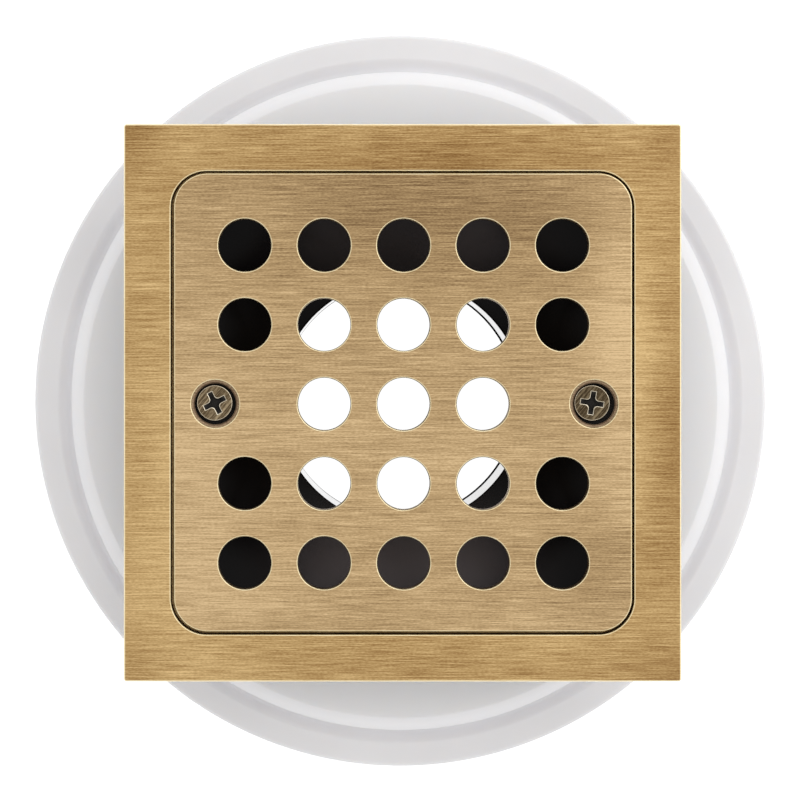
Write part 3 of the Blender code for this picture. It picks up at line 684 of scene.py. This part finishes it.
def rubber(name):
    """Black rubber with a little dust on it."""
    nodes = Nodes(name)
    dust = nodes.even_noise(RUBBER_DUST, detail=4.0)
    nodes.set(base_color=nodes.ramp(dust, RUBBER_STOPS))
    nodes.set(roughness=nodes.math("MULTIPLY_ADD", dust, DULL_ROUGHNESS_SPREAD, RUBBER_ROUGHNESS))
    nodes.bump(nodes.even_noise(RUBBER_SKIN), RUBBER_STRENGTH, RUBBER_DEPTH)
    return nodes.material


# Brass and bronze: colour at each tone, from dark to light
BRASS_STOPS = ((0.05, (0.220, 0.108, 0.032)), (0.36, (0.394, 0.237, 0.091)),
               (0.58, (0.530, 0.350, 0.150)), (0.90, (0.760, 0.540, 0.260)))
GRATE_STOPS = ((0.05, (0.200, 0.120, 0.055)), (0.36, (0.375, 0.248, 0.120)),
               (0.58, (0.515, 0.355, 0.180)), (0.90, (0.740, 0.540, 0.300)))
# Worn edges: lighter cream brass, partly real wear, partly painted highlight
EDGE_WEAR_AND_HIGHLIGHT_STOPS = ((0.2, (0.68, 0.52, 0.28)), (0.5, (0.87, 0.73, 0.45)), (0.8, (0.95, 0.86, 0.62)))
# Painted shade: upright walls of the holes, the grate's sides and the frame's opening are darker than the top
WALL_SHADE_STOPS = ((0.15, (0.130, 0.082, 0.046)), (0.5, (0.290, 0.195, 0.115)),
              (0.8, (0.470, 0.340, 0.210)))
# Painted shade: the screw pockets are darker brown than the brass, and darker again in their lower cone
POCKET_PAINTED_SHADE_STOPS = ((0.15, (0.105, 0.064, 0.034)), (0.5, (0.235, 0.152, 0.084)),
                (0.8, (0.390, 0.270, 0.160)))
POCKET_SHADE_STOPS = ((0.15, (0.085, 0.050, 0.027)), (0.5, (0.190, 0.120, 0.068)),
                      (0.8, (0.320, 0.215, 0.130)))
POCKET_METALLIC = 0.3
# The two screws are copies of one bronze; the right one is painted darker than the left: painted shade
SCREW_PAINTED_SHADE_STOPS = {
    "left": ((0.05, (0.030, 0.020, 0.012)), (0.5, (0.135, 0.095, 0.052)), (0.95, (0.400, 0.310, 0.190))),
    "right": ((0.05, (0.020, 0.013, 0.007)), (0.5, (0.080, 0.056, 0.030)), (0.95, (0.260, 0.200, 0.120))),
}
# The screw heads' rims: lighter bronze, partly real wear, partly painted highlight
SCREW_EDGE_WEAR_AND_HIGHLIGHT_STOPS = ((0.2, (0.42, 0.36, 0.25)), (0.5, (0.66, 0.58, 0.44)), (0.8, (0.82, 0.76, 0.62)))
SCREW_GRAIN_TURN = -50.0

# Other materials: darkest and lightest tone
TURNED_BRASS_TONES = ((0.40, 0.27, 0.11), (0.66, 0.48, 0.21))
STEEL_TONES = ((0.42, 0.42, 0.43), (0.62, 0.62, 0.63))
BASE_TONES = ((0.84, 0.831, 0.842), (0.88, 0.871, 0.882))
# Painted light: the collar's white PVC is a lighter copy of the base's, with more subsurface glow, to make up
# for the shade the frame casts on it; its bevel has a copy between the two, set to the light the bevel
# catches
COLLAR_LIT_TONES = ((0.965, 0.958, 0.975), (0.988, 0.982, 0.998))
BEVEL_LIT_TONES = ((0.885, 0.877, 0.890), (0.925, 0.917, 0.930))
BLACK_TONES = ((0.0046, 0.0036, 0.0038), (0.0064, 0.0052, 0.0054))
BORE_TONES = ((0.0050, 0.0040, 0.0042), (0.0070, 0.0056, 0.0058))

# Skin of the plastics: marks per metre and depth
PVC_SKIN = (2600.0, 0.03 * MM)
ABS_SKIN = (1800.0, 0.02 * MM)
BORE_SKIN = (900.0, 0.0003 * MM)
ABS_ROUGHNESS = 0.30
ABS_GLOSS = 0.09

frame_brass = brushed_brass("aged_brass_frame", BRASS_STOPS, roughness=0.42, with_patina=True)
grate_brass = brushed_brass("aged_brass_grate", GRATE_STOPS, roughness=0.44, with_patina=True)
edge_brass_wear_and_highlight = brushed_brass("worn_brass_edge_painted_highlight", EDGE_WEAR_AND_HIGHLIGHT_STOPS, roughness=0.42, depth=0.6)
wall_brass_painted_shade = brushed_brass("brass_wall_painted_shade", WALL_SHADE_STOPS, roughness=0.45, depth=0.7)
pocket_painted_shade = brushed_brass("brass_pocket_painted_shade", POCKET_PAINTED_SHADE_STOPS, roughness=0.55, depth=0.9,
                             metallic=POCKET_METALLIC)
pocket_shade = brushed_brass("brass_pocket_deeper_painted_shade", POCKET_SHADE_STOPS, roughness=0.6, depth=0.9,
                             metallic=POCKET_METALLIC)
screw_bronze_painted_shade = {}
for side_name, stops in SCREW_PAINTED_SHADE_STOPS.items():
    screw_bronze_painted_shade[side_name] = brushed_brass(f"bronze_painted_shade_{side_name}", stops, roughness=0.38, depth=1.1,
                                            turn=SCREW_GRAIN_TURN)
screw_edge_wear_and_highlight = brushed_brass("worn_bronze_edge_painted_highlight", SCREW_EDGE_WEAR_AND_HIGHLIGHT_STOPS, roughness=0.35, depth=0.5)
recess_shade = recess_shade_material("black_painted_recess_shade")
insert_brass = plain_metal("turned_brass", TURNED_BRASS_TONES)
steel = plain_metal("stainless_steel", STEEL_TONES)
white_pvc = moulded_plastic("white_pvc", BASE_TONES, PVC_SKIN, roughness=0.42, glow=0.3)
collar_pvc_painted_light = moulded_plastic("white_pvc_collar_painted_light", COLLAR_LIT_TONES, PVC_SKIN, roughness=0.40, glow=0.4)
bevel_pvc_painted_light = moulded_plastic("white_pvc_bevel_painted_light", BEVEL_LIT_TONES, PVC_SKIN, roughness=0.42, glow=0.3)
black_abs = moulded_plastic("black_abs", BLACK_TONES, ABS_SKIN, ABS_ROUGHNESS, gloss=ABS_GLOSS)
sheen_painted_abs = moulded_plastic("black_abs_painted_sheen", BLACK_TONES, ABS_SKIN, ABS_ROUGHNESS, gloss=ABS_GLOSS,
                              sheen_patches=PAN_PAINTED_SHEEN)
bore_abs = moulded_plastic("polished_black_abs", BORE_TONES, BORE_SKIN, roughness=0.02)
black_rubber = rubber("black_rubber")


# Brass frame and grate

def edge_rings(half, corner, quarter):
    """Outlines over a worn top edge, from the wall to the top face."""
    rings = []
    for inset, drop in WORN_EDGE:
        round_corner = max(corner - inset, SMALLEST_CORNER)
        rings.append(rounded_square(half - inset, round_corner, FRAME_TOP - drop, quarter))
    return rings


def inner_edge_rings(half, corner, quarter):
    """The same over the edge of an opening, from the top face to the wall."""
    rings = []
    for outset, drop in reversed(WORN_EDGE):
        rings.append(rounded_square(half + outset, corner + outset, FRAME_TOP - drop, quarter))
    return rings


def on_top_edge(normal, centre):
    """Whether a face belongs to a worn edge of the top."""
    return TILTED < normal.z < FLAT and centre.z > FRAME_TOP - EDGE_BREAK


def on_opening_wall(normal, centre):
    """Whether a face of the frame is on the wall around the grate."""
    inside = max(abs(centre.x), abs(centre.y)) < OPENING_HALF + FACE_MARGIN
    return abs(normal.z) < UPRIGHT and inside and LEDGE_TOP < centre.z < FRAME_TOP - EDGE_BREAK


def build_frame():
    outlines = [rounded_square(FRAME_HALF, FRAME_CORNER, FRAME_BOTTOM, PLATE_QUARTER)]
    outlines += edge_rings(FRAME_HALF, FRAME_CORNER, PLATE_QUARTER)
    outlines += inner_edge_rings(OPENING_HALF, OPENING_CORNER, PLATE_QUARTER)
    outlines += [rounded_square(OPENING_HALF, OPENING_CORNER, LEDGE_TOP, PLATE_QUARTER),
                 rounded_square(LEDGE_HALF, LEDGE_CORNER, LEDGE_TOP, PLATE_QUARTER),
                 rounded_square(LEDGE_HALF, LEDGE_CORNER, FRAME_BOTTOM, PLATE_QUARTER)]
    mesh = bmesh.new()
    add_skin(mesh, outlines)
    item = to_object("brass_frame", mesh)
    holes = bmesh.new()
    for x, y in corner_positions(FRAME_SCREW_OFFSET):
        profile = [(FRAME_SCREW_HOLE, FRAME_BOTTOM - CUT_PAST),
                   (FRAME_SCREW_HOLE, FRAME_BOTTOM + FRAME_SCREW_DEPTH)]
        add_lathe(holes, profile, x, y, SMALL_QUARTER)
    apply_boolean(item, holes, "DIFFERENCE")
    # The worn top edges get the lighter brass: partly wear, partly painted highlight
    mark_faces(item, 1, on_top_edge)
    # The wall around the grate gets the darker brass: painted shade
    mark_faces(item, 2, on_opening_wall)
    finish_piece(item, "barrel", ["grate_frame"], [frame_brass, edge_brass_wear_and_highlight, wall_brass_painted_shade])


def hole_positions():
    """A square pattern of holes, without the two that the screws take up."""
    positions = []
    for row in range(-HOLE_REACH, HOLE_REACH + 1):
        for column in range(-HOLE_REACH, HOLE_REACH + 1):
            if row != 0 or abs(column) != HOLE_REACH:
                positions.append(Vector((column * HOLE_PITCH, row * HOLE_PITCH, 0)) + HOLE_SHIFT)
    return positions


def worn_cut(wall, radius, top):
    """Profile of a hole: its wall, then the worn edge at the top, and on into the air above."""
    profile = wall + [(radius + outset, top - drop) for outset, drop in WORN_EDGE]
    last = WORN_EDGE[-1][0]
    slope = WORN_EDGE[-2][1] / (last - WORN_EDGE[-2][0])
    return profile[:-1] + [(radius + last + CUT_PAST, top + CUT_PAST * slope)]


def mark_pocket_band(item, index, low, high):
    """Give the parts of the two screw pockets between two heights another material slot."""
    reach = POCKET_TOP_RADIUS + FACE_MARGIN

    def in_band(normal, centre):
        across = math.hypot(abs(centre.x - POCKET_SHIFT.x) - SCREW_X, centre.y - POCKET_SHIFT.y)
        return across < reach and low < centre.z < high

    mark_faces(item, index, in_band)


def build_grate():
    outlines = [rounded_square(GRATE_HALF, GRATE_CORNER, GRATE_BOTTOM, PLATE_QUARTER)]
    outlines += edge_rings(GRATE_HALF, GRATE_CORNER, PLATE_QUARTER)
    mesh = bmesh.new()
    add_skin(mesh, outlines, capped=True)
    item = to_object("brass_grate", mesh)
    holes = bmesh.new()
    for place in hole_positions():
        profile = worn_cut([(HOLE_RADIUS, GRATE_BOTTOM - CUT_PAST)], HOLE_RADIUS, FRAME_TOP)
        add_lathe(holes, profile, place.x, place.y, HOLE_QUARTER)
    floor = FRAME_TOP - POCKET_DEPTH
    cone_bottom = FRAME_TOP - POCKET_CONE_DEPTH
    cone_step = FRAME_TOP - POCKET_STEP_DEPTH
    wall = [(SHANK_HOLE_RADIUS, GRATE_BOTTOM - CUT_PAST), (SHANK_HOLE_RADIUS, floor),
            (POCKET_FLOOR_RADIUS, floor), (POCKET_CONE_RADIUS, cone_bottom), (POCKET_STEP_RADIUS, cone_step)]
    profile = worn_cut(wall, POCKET_TOP_RADIUS, FRAME_TOP)
    for side in SCREW_SIDE.values():
        add_lathe(holes, profile, side * SCREW_X + POCKET_SHIFT.x, POCKET_SHIFT.y, HOLE_QUARTER)
    apply_boolean(item, holes, "DIFFERENCE")
    edge_bottom = FRAME_TOP - EDGE_BREAK
    # The hole walls and the grate's sides get the darker brass: painted shade
    mark_faces(item, 2, lambda normal, centre: abs(normal.z) < STEEP and centre.z < edge_bottom)
    # The pocket's floor and lowest wall are painted near-black: painted shade
    mark_pocket_band(item, 3, floor - FACE_TOLERANCE, cone_bottom)
    mark_faces(item, 1, on_top_edge)
    # The pocket's lower cone gets the darker painted shade, its upper cone the lighter one
    mark_pocket_band(item, 4, cone_bottom, cone_step)
    mark_pocket_band(item, 5, cone_step, edge_bottom)
    item.location = GRATE_SHIFT
    materials = [grate_brass, edge_brass_wear_and_highlight, wall_brass_painted_shade, recess_shade, pocket_shade, pocket_painted_shade]
    finish_piece(item, "grate", ["grate"], materials)


# Screws of the grate

def screw_profile():
    """Outline of a screw from its tip to the top of its head, with the thread's place as its second step."""
    profile = [
        (SCREW_NECK_RADIUS - SCREW_TIP_TAPER, SCREW_TIP),
        (SCREW_NECK_RADIUS, SCREW_TIP + SCREW_TIP_HEIGHT),
        (SCREW_NECK_RADIUS, SCREW_THREAD_TOP),
        (SCREW_NECK_RADIUS, 0),
        (SCREW_HEAD_RADIUS, 0),
    ]
    top = SCREW_HEAD_HEIGHT - HEAD_EDGE
    return profile + arc_profile(SCREW_HEAD_RADIUS - HEAD_EDGE, top, HEAD_EDGE, 0, 90, HEAD_STEPS)


def add_recess(mesh, edge):
    """The Phillips recess as a cutting tool, narrow at the bottom and with a broken edge at the top."""
    bottom = SCREW_HEAD_HEIGHT - RECESS_DEPTH
    span = RECESS_SPAN - 2 * RECESS_EDGE
    width = RECESS_WIDTH - 2 * RECESS_EDGE
    outlines = [cross(RECESS_SPAN * RECESS_TAPER, RECESS_WIDTH * RECESS_TAPER, RECESS_FILLET / 2, bottom),
                cross(span, width, RECESS_FILLET, edge),
                cross(RECESS_SPAN, RECESS_WIDTH, RECESS_FILLET, SCREW_HEAD_HEIGHT),
                cross(RECESS_SPAN, RECESS_WIDTH, RECESS_FILLET, SCREW_HEAD_HEIGHT + CUT_PAST)]
    add_skin(mesh, outlines, capped=True)


def build_screw(side_name):
    thread_start = SCREW_TIP + SCREW_TIP_HEIGHT
    thread = (SCREW_NECK_RADIUS, SCREW_CREST_RADIUS, thread_start, SCREW_PITCH, SCREW_TURNS)
    mesh = bmesh.new()
    add_skin(mesh, lathe_outlines(screw_profile(), HOLE_QUARTER), capped=True, threads={1: thread})
    item = to_object(f"phillips_screw_{side_name}", mesh)
    edge = SCREW_HEAD_HEIGHT - RECESS_EDGE / 2
    recess = bmesh.new()
    add_recess(recess, edge)
    apply_boolean(item, recess, "DIFFERENCE")
    reach = SCREW_HEAD_RADIUS - 2 * HEAD_EDGE

    def on_edge(normal, centre):
        return TILTED < normal.z < NEARLY_FLAT and centre.z > edge - HEAD_EDGE

    def in_recess(normal, centre):
        return 0 < centre.z < edge - FACE_TOLERANCE and math.hypot(centre.x, centre.y) < reach

    # The head's rim gets the lighter bronze: partly wear, partly painted highlight
    mark_faces(item, 1, on_edge)
    # The recess is painted near-black: painted shade
    mark_faces(item, 2, in_recess)
    item.data.transform(Matrix.Rotation(math.radians(SCREW_TURN[side_name]), 4, "Z"))
    across = SCREW_SIDE[side_name] * (SCREW_X - SCREW_INSET)
    item.location = Vector((across, 0, SCREW_SEAT)) + SCREW_SHIFT
    finish_piece(item, f"screw_{side_name}", [f"grate_screw_{side_name}"],
                 [screw_bronze_painted_shade[side_name], screw_edge_wear_and_highlight, recess_shade])


# Barrel

def bore_outlines():
    """The throat from its upper edge down, with rings that keep its wall's shading straight, and the bead."""
    bore_top = THROAT_TOP - THROAT_ROUND
    profile = arc_profile(THROAT_RADIUS + THROAT_ROUND, bore_top, THROAT_ROUND, 90, 180, FILLET_STEPS)
    profile += [(THROAT_RADIUS, THROAT_TOP - 2 * THROAT_ROUND),
                (THROAT_RADIUS, BARREL_BOTTOM + 2 * THROAT_ROUND),
                (THROAT_RADIUS, BARREL_BOTTOM + 3 * BORE_BEAD)]
    outlines = lathe_outlines(profile, ROUND_QUARTER)
    for height in (2 * BORE_BEAD, BORE_BEAD):
        bead = circle(THROAT_RADIUS - BORE_BEAD, BARREL_BOTTOM + height, ROUND_QUARTER)
        outlines.append([point - Vector((BEAD_SHIFT, 0, 0)) for point in bead])
    return outlines + [circle(THROAT_RADIUS, BARREL_BOTTOM, ROUND_QUARTER)]


def barrel_outlines():
    """The barrel's wall upwards, the outside and the flange of the pan, then its floor and the throat."""
    half = LEDGE_HALF
    corner = LEDGE_CORNER
    profile = [(CORE_RADIUS - CHAMFER, BARREL_BOTTOM), (CORE_RADIUS, BARREL_BOTTOM + CHAMFER),
               (CORE_RADIUS, NECK_TOP), (NECK_SHOULDER_RADIUS, NECK_TOP)]
    squares = [
        (half + PAN_TAPER, corner + PAN_TAPER, PAN_FLOOR_EDGE - PAN_WALL),
        (half + PAN_WALL, corner + PAN_WALL, PAN_TOP - PAN_WALL),
        (PAN_FLANGE_HALF, PAN_FLANGE_CORNER, PAN_TOP - PAN_WALL),
        (PAN_FLANGE_HALF, PAN_FLANGE_CORNER, PAN_TOP),
        (half, corner, PAN_TOP),
        (half - CHAMFER, corner, PAN_FLOOR_EDGE),
    ]
    outlines = lathe_outlines(profile, ROUND_QUARTER)
    outlines += [rounded_square(*square, ROUND_QUARTER) for square in squares]
    return outlines + bore_outlines()


def build_barrel():
    thread = (CORE_RADIUS, CORE_RADIUS + THREAD_DEPTH, THREAD_START, THREAD_PITCH, BARREL_TURNS)
    mesh = bmesh.new()
    add_skin(mesh, barrel_outlines(), threads={1: thread})
    item = to_object("black_barrel", mesh)
    bosses = bmesh.new()
    holes = bmesh.new()
    for side in SCREW_SIDE.values():
        boss = [(BOSS_RADIUS, BOSS_BOTTOM), (BOSS_RADIUS, BOSS_TOP)]
        bore = [(BOSS_BORE, BOSS_BORE_BOTTOM), (BOSS_BORE, BOSS_TOP + CUT_PAST)]
        add_lathe(bosses, boss, side * SCREW_X, 0, HOLE_QUARTER)
        add_lathe(holes, bore, side * SCREW_X, 0, HOLE_QUARTER)
    for x, y in corner_positions(FRAME_SCREW_OFFSET):
        profile = [(FRAME_SCREW_HOLE, PAN_TOP - PAN_WALL - CUT_PAST), (FRAME_SCREW_HOLE, PAN_TOP + CUT_PAST)]
        add_lathe(holes, profile, x, y, SMALL_QUARTER)
    apply_boolean(item, bosses, "UNION")
    apply_boolean(item, holes, "DIFFERENCE")

    def in_bore(normal, centre):
        return math.hypot(centre.x, centre.y) < THROAT_RADIUS and centre.z < THROAT_TOP - THROAT_ROUND

    mark_faces(item, 1, in_bore)
    # The pan's floor gets the painted sheen
    mark_faces(item, 2, lambda normal, centre: normal.z > FACING_UP and centre.z < PAN_FLOOR_EDGE)
    finish_piece(item, "barrel", ["strainer_barrel"], [black_abs, bore_abs, sheen_painted_abs])


# Base and collar

def groove_profile(steps):
    """A smooth rise from the groove's floor to the top of the rim."""
    points = []
    for step in range(steps + 1):
        share = step / steps
        rise = (1 - math.cos(math.pi * share)) / 2
        points.append((GROOVE_RADIUS + share * (RIM_INNER_RADIUS - GROOVE_RADIUS),
                       GROOVE_FLOOR + rise * (RIM_TOP - GROOVE_FLOOR)))
    return points


def base_profile():
    middle = FLANGE_RADIUS - RIM_EDGE
    profile = [(CHAMBER_RADIUS, CHAMBER_FLOOR), (CHAMBER_RADIUS, SEAT_HEIGHT - CHAMFER)]
    profile += [(CHAMBER_RADIUS + CHAMFER, SEAT_HEIGHT), (SEAT_RADIUS, SEAT_HEIGHT)]
    profile += [(SEAT_RADIUS, GROOVE_FLOOR)]
    profile += groove_profile(GROOVE_STEPS)
    profile += arc_profile(middle, RIM_TOP - RIM_EDGE, RIM_EDGE, 90, 0, RIM_STEPS)
    profile += arc_profile(middle, FOOT_BOTTOM + RIM_EDGE, RIM_EDGE, 0, -90, RIM_STEPS)
    profile += [(FOOT_INNER_RADIUS, FOOT_BOTTOM), (FOOT_INNER_RADIUS, FLANGE_BOTTOM)]
    under = FLANGE_BOTTOM - HUB_FILLET
    profile += arc_profile(HUB_RADIUS + HUB_FILLET, under, HUB_FILLET, 90, 180, FILLET_STEPS)
    profile += arc_profile(HUB_RADIUS - CHAMFER, CHAMFER, CHAMFER, 0, -90, SOFT_STEPS)
    profile += arc_profile(SOCKET_RADIUS + CHAMFER, CHAMFER, CHAMFER, -90, -180, SOFT_STEPS)
    profile += [(SOCKET_RADIUS, SOCKET_DEPTH), (PIPE_STOP_RADIUS, SOCKET_DEPTH),
                (PIPE_STOP_RADIUS, CHAMBER_FLOOR)]
    return profile


def add_rib(mesh, angle):
    """A rib under the flange that gets lower away from the hub."""
    along = Vector((math.cos(angle), math.sin(angle), 0))
    across = Vector((-math.sin(angle), math.cos(angle), 0)) * (RIB_THICKNESS / 2)
    inside = HUB_RADIUS - HUB_FILLET
    buried = FLANGE_BOTTOM + HUB_FILLET
    corners = [(inside, buried), (RIB_REACH, buried), (RIB_REACH, FLANGE_BOTTOM - RIB_THICKNESS),
               (inside, FLANGE_BOTTOM - RIB_DROP)]
    sides = []
    for sign in (-1, 1):
        sides.append([along * reach + across * sign + Vector((0, 0, height)) for reach, height in corners])
    add_skin(mesh, sides, capped=True)


def build_base():
    mesh = bmesh.new()
    add_skin(mesh, lathe_outlines(base_profile(), FINE_QUARTER))
    item = to_object("pvc_base", mesh)
    additions = bmesh.new()
    for index in range(RIB_COUNT):
        add_rib(additions, 2 * math.pi * (index + 0.5) / RIB_COUNT)
    holes = bmesh.new()
    for x, y in bolt_positions():
        boss = [(BOLT_BOSS_RADIUS - CHAMFER / 2, BOLT_BOSS_BOTTOM),
                (BOLT_BOSS_RADIUS, BOLT_BOSS_BOTTOM + CHAMFER / 2),
                (BOLT_BOSS_RADIUS, FLANGE_BOTTOM + HUB_FILLET)]
        add_lathe(additions, boss, x, y, HOLE_QUARTER)
        hole = [(INSERT_HOLE_RADIUS, BOLT_BOSS_BOTTOM - CUT_PAST), (INSERT_HOLE_RADIUS, INSERT_POCKET_TOP),
                (BOLT_HOLE_RADIUS, INSERT_POCKET_TOP), (BOLT_HOLE_RADIUS, SEAT_HEIGHT + CUT_PAST)]
        add_lathe(holes, hole, x, y, HOLE_QUARTER)
    apply_boolean(item, additions, "UNION")
    apply_boolean(item, holes, "DIFFERENCE")
    finish_piece(item, "base", ["drain_base"], [white_pvc])


def collar_profile(thread_root):
    """The collar's section: threaded bore, raised hub, flat top and bevelled edge."""
    soft = COLLAR_SOFT_EDGE
    slope = math.sqrt(0.5) * soft
    hub_edge = COLLAR_HUB_TOP - CHAMFER
    hub_foot = COLLAR_TOP + CHAMFER
    bevel_radius = COLLAR_RADIUS - COLLAR_BEVEL
    bevel_bottom = COLLAR_TOP - COLLAR_BEVEL
    profile = [(thread_root, COLLAR_BOTTOM), (thread_root, COLLAR_HUB_TOP)]
    profile += arc_profile(COLLAR_HUB_RADIUS - CHAMFER, hub_edge, CHAMFER, 90, 0, SOFT_STEPS)
    profile += arc_profile(COLLAR_HUB_RADIUS + CHAMFER, hub_foot, CHAMFER, 180, 270, SOFT_STEPS)
    profile += [(bevel_radius - soft, COLLAR_TOP), (bevel_radius + slope, COLLAR_TOP - slope),
                (COLLAR_RADIUS - slope, bevel_bottom + slope), (COLLAR_RADIUS, bevel_bottom - soft)]
    return profile + [(COLLAR_RADIUS, COLLAR_BOTTOM + CHAMFER), (COLLAR_RADIUS - CHAMFER, COLLAR_BOTTOM)]


def build_collar():
    crest = CORE_RADIUS + THREAD_CLEARANCE
    root = crest + THREAD_DEPTH
    thread = (root, crest, COLLAR_THREAD_START, THREAD_PITCH, COLLAR_TURNS)
    mesh = bmesh.new()
    add_skin(mesh, lathe_outlines(collar_profile(root), FINE_QUARTER), threads={0: thread})
    item = to_object("pvc_collar", mesh)
    holes = bmesh.new()
    for x, y in bolt_positions():
        hole = [(BOLT_HOLE_RADIUS, COLLAR_BOTTOM - CUT_PAST), (BOLT_HOLE_RADIUS, COUNTERBORE_FLOOR),
                (COUNTERBORE_RADIUS, COUNTERBORE_FLOOR), (COUNTERBORE_RADIUS, COLLAR_TOP + CUT_PAST)]
        add_lathe(holes, hole, x, y, HOLE_QUARTER)
    for turn in range(4):
        angle = math.pi / 2 * turn
        weep = [(WEEP_RADIUS, COLLAR_BOTTOM - CUT_PAST), (WEEP_RADIUS, COLLAR_TOP + CUT_PAST)]
        add_lathe(holes, weep, WEEP_CIRCLE * math.cos(angle), WEEP_CIRCLE * math.sin(angle), SMALL_QUARTER)
    apply_boolean(item, holes, "DIFFERENCE")
    flat_edge = COLLAR_RADIUS - COLLAR_BEVEL - COLLAR_SOFT_EDGE

    def on_bevel(normal, centre):
        return math.hypot(centre.x, centre.y) > flat_edge and TILTED < normal.z < BEVELLED

    # The bevel gets its own lighter copy of the PVC: painted light
    mark_faces(item, 1, on_bevel)
    finish_piece(item, "base", ["clamping_collar"], [collar_pvc_painted_light, bevel_pvc_painted_light])


# CAD pieces that keep their shape

CARRIED_OVER = (
    ("clamp_bolt", steel), ("clamp_washer", steel), ("clamp_insert", insert_brass), ("frame_screw", steel),
    ("grate_insert", insert_brass), ("retaining_washer", steel), ("membrane_gasket", black_rubber),
    ("neck_gasket", black_rubber),
)


def dress_cad_nodes():
    """Give the CAD pieces that are kept their materials."""
    for name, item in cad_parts.items():
        for start, material in CARRIED_OVER:
            if name.startswith(start):
                item.data.materials.clear()
                item.data.materials.append(material)


# Stage: the floor looks bright, and lights the object from below only a little

FLOOR_HALF = 3.0
FLOOR_TONES = ((0.30, 0.30, 0.30), (0.32, 0.32, 0.32))
FLOOR_SPECKLE = 40.0
FLOOR_ROUGHNESS = 0.9
FLOOR_GLOW = 1.0
FLOOR_BOUNCE = 0.3
WHITE = (1.0, 1.0, 1.0, 1.0)


def build_floor():
    mesh = bmesh.new()
    corners = [mesh.verts.new((x, y, 0)) for x, y in corner_positions(FLOOR_HALF)]
    mesh.faces.new(corners)
    item = to_object("floor", mesh)
    nodes = Nodes("pale_floor")
    nodes.set(base_color=nodes.blend(nodes.even_noise(FLOOR_SPECKLE), FLOOR_TONES))
    path = nodes.add("ShaderNodeLightPath").outputs
    seen = nodes.math("MAXIMUM", path["Is Camera Ray"], path["Is Glossy Ray"])
    glow = nodes.math("MULTIPLY_ADD", seen, FLOOR_GLOW - FLOOR_BOUNCE, FLOOR_BOUNCE)
    nodes.set(roughness=FLOOR_ROUGHNESS, emission_color=WHITE, emission_strength=glow)
    item.data.materials.append(nodes.material)


ROOM_BRIGHT_SIDE = Vector((0.59, 0.78, 0.23))
ROOM_DIMMEST = 0.78
ROOM_BRIGHTEST = 1.04


def build_world():
    """A pale room that is a little brighter towards the upper right."""
    world = bpy.data.worlds.new("pale_room")
    bpy.context.scene.world = world
    world.use_nodes = True
    tree = world.node_tree
    background = tree.nodes["Background"]
    place = tree.nodes.new("ShaderNodeTexCoord")
    direction = tree.nodes.new("ShaderNodeVectorMath")
    direction.operation = "DOT_PRODUCT"
    direction.inputs[1].default_value = ROOM_BRIGHT_SIDE.normalized()
    tree.links.new(place.outputs["Generated"], direction.inputs[0])
    brightness = tree.nodes.new("ShaderNodeMapRange")
    brightness.inputs["From Min"].default_value = -1.0
    brightness.inputs["From Max"].default_value = 1.0
    brightness.inputs["To Min"].default_value = ROOM_DIMMEST
    brightness.inputs["To Max"].default_value = ROOM_BRIGHTEST
    tree.links.new(direction.outputs["Value"], brightness.inputs["Value"])
    tree.links.new(brightness.outputs["Result"], background.inputs["Strength"])
    background.inputs["Color"].default_value = WHITE


KEY_LIGHT_PLACE = Vector((0.55, 0.42, 0.75))
KEY_LIGHT_TARGET = Vector((0, 0, 0.04))
KEY_LIGHT_SIZE = 0.9
KEY_LIGHT_POWER = 1.8


def build_key_light():
    data = bpy.data.lights.new("key_light", "AREA")
    data.shape = "DISK"
    data.size = KEY_LIGHT_SIZE
    data.energy = KEY_LIGHT_POWER
    item = bpy.data.objects.new("key_light", data)
    item.location = KEY_LIGHT_PLACE
    item.rotation_euler = (KEY_LIGHT_TARGET - KEY_LIGHT_PLACE).to_track_quat("-Z", "Y").to_euler()
    bpy.context.collection.objects.link(item)


def build_camera():
    data = bpy.data.cameras.new("camera")
    data.sensor_width = SENSOR
    data.lens = SENSOR * CAMERA_HEIGHT / VIEW_WIDTH
    data.shift_x = (-CAMERA_X - FRAME_OFF_CENTRE_X) / VIEW_WIDTH
    data.shift_y = (-CAMERA_Y - FRAME_OFF_CENTRE_Y) / VIEW_WIDTH
    item = bpy.data.objects.new("camera", data)
    item.location = (CAMERA_X, CAMERA_Y, FRAME_TOP + CAMERA_HEIGHT)
    bpy.context.collection.objects.link(item)
    bpy.context.scene.camera = item


build_camera()
build_floor()
build_world()
build_key_light()
build_base()
build_collar()
build_barrel()
build_frame()
build_grate()
for side_name in SCREW_SIDE:
    build_screw(side_name)
dress_cad_nodes()
bpy.context.scene.view_settings.view_transform = "Standard"
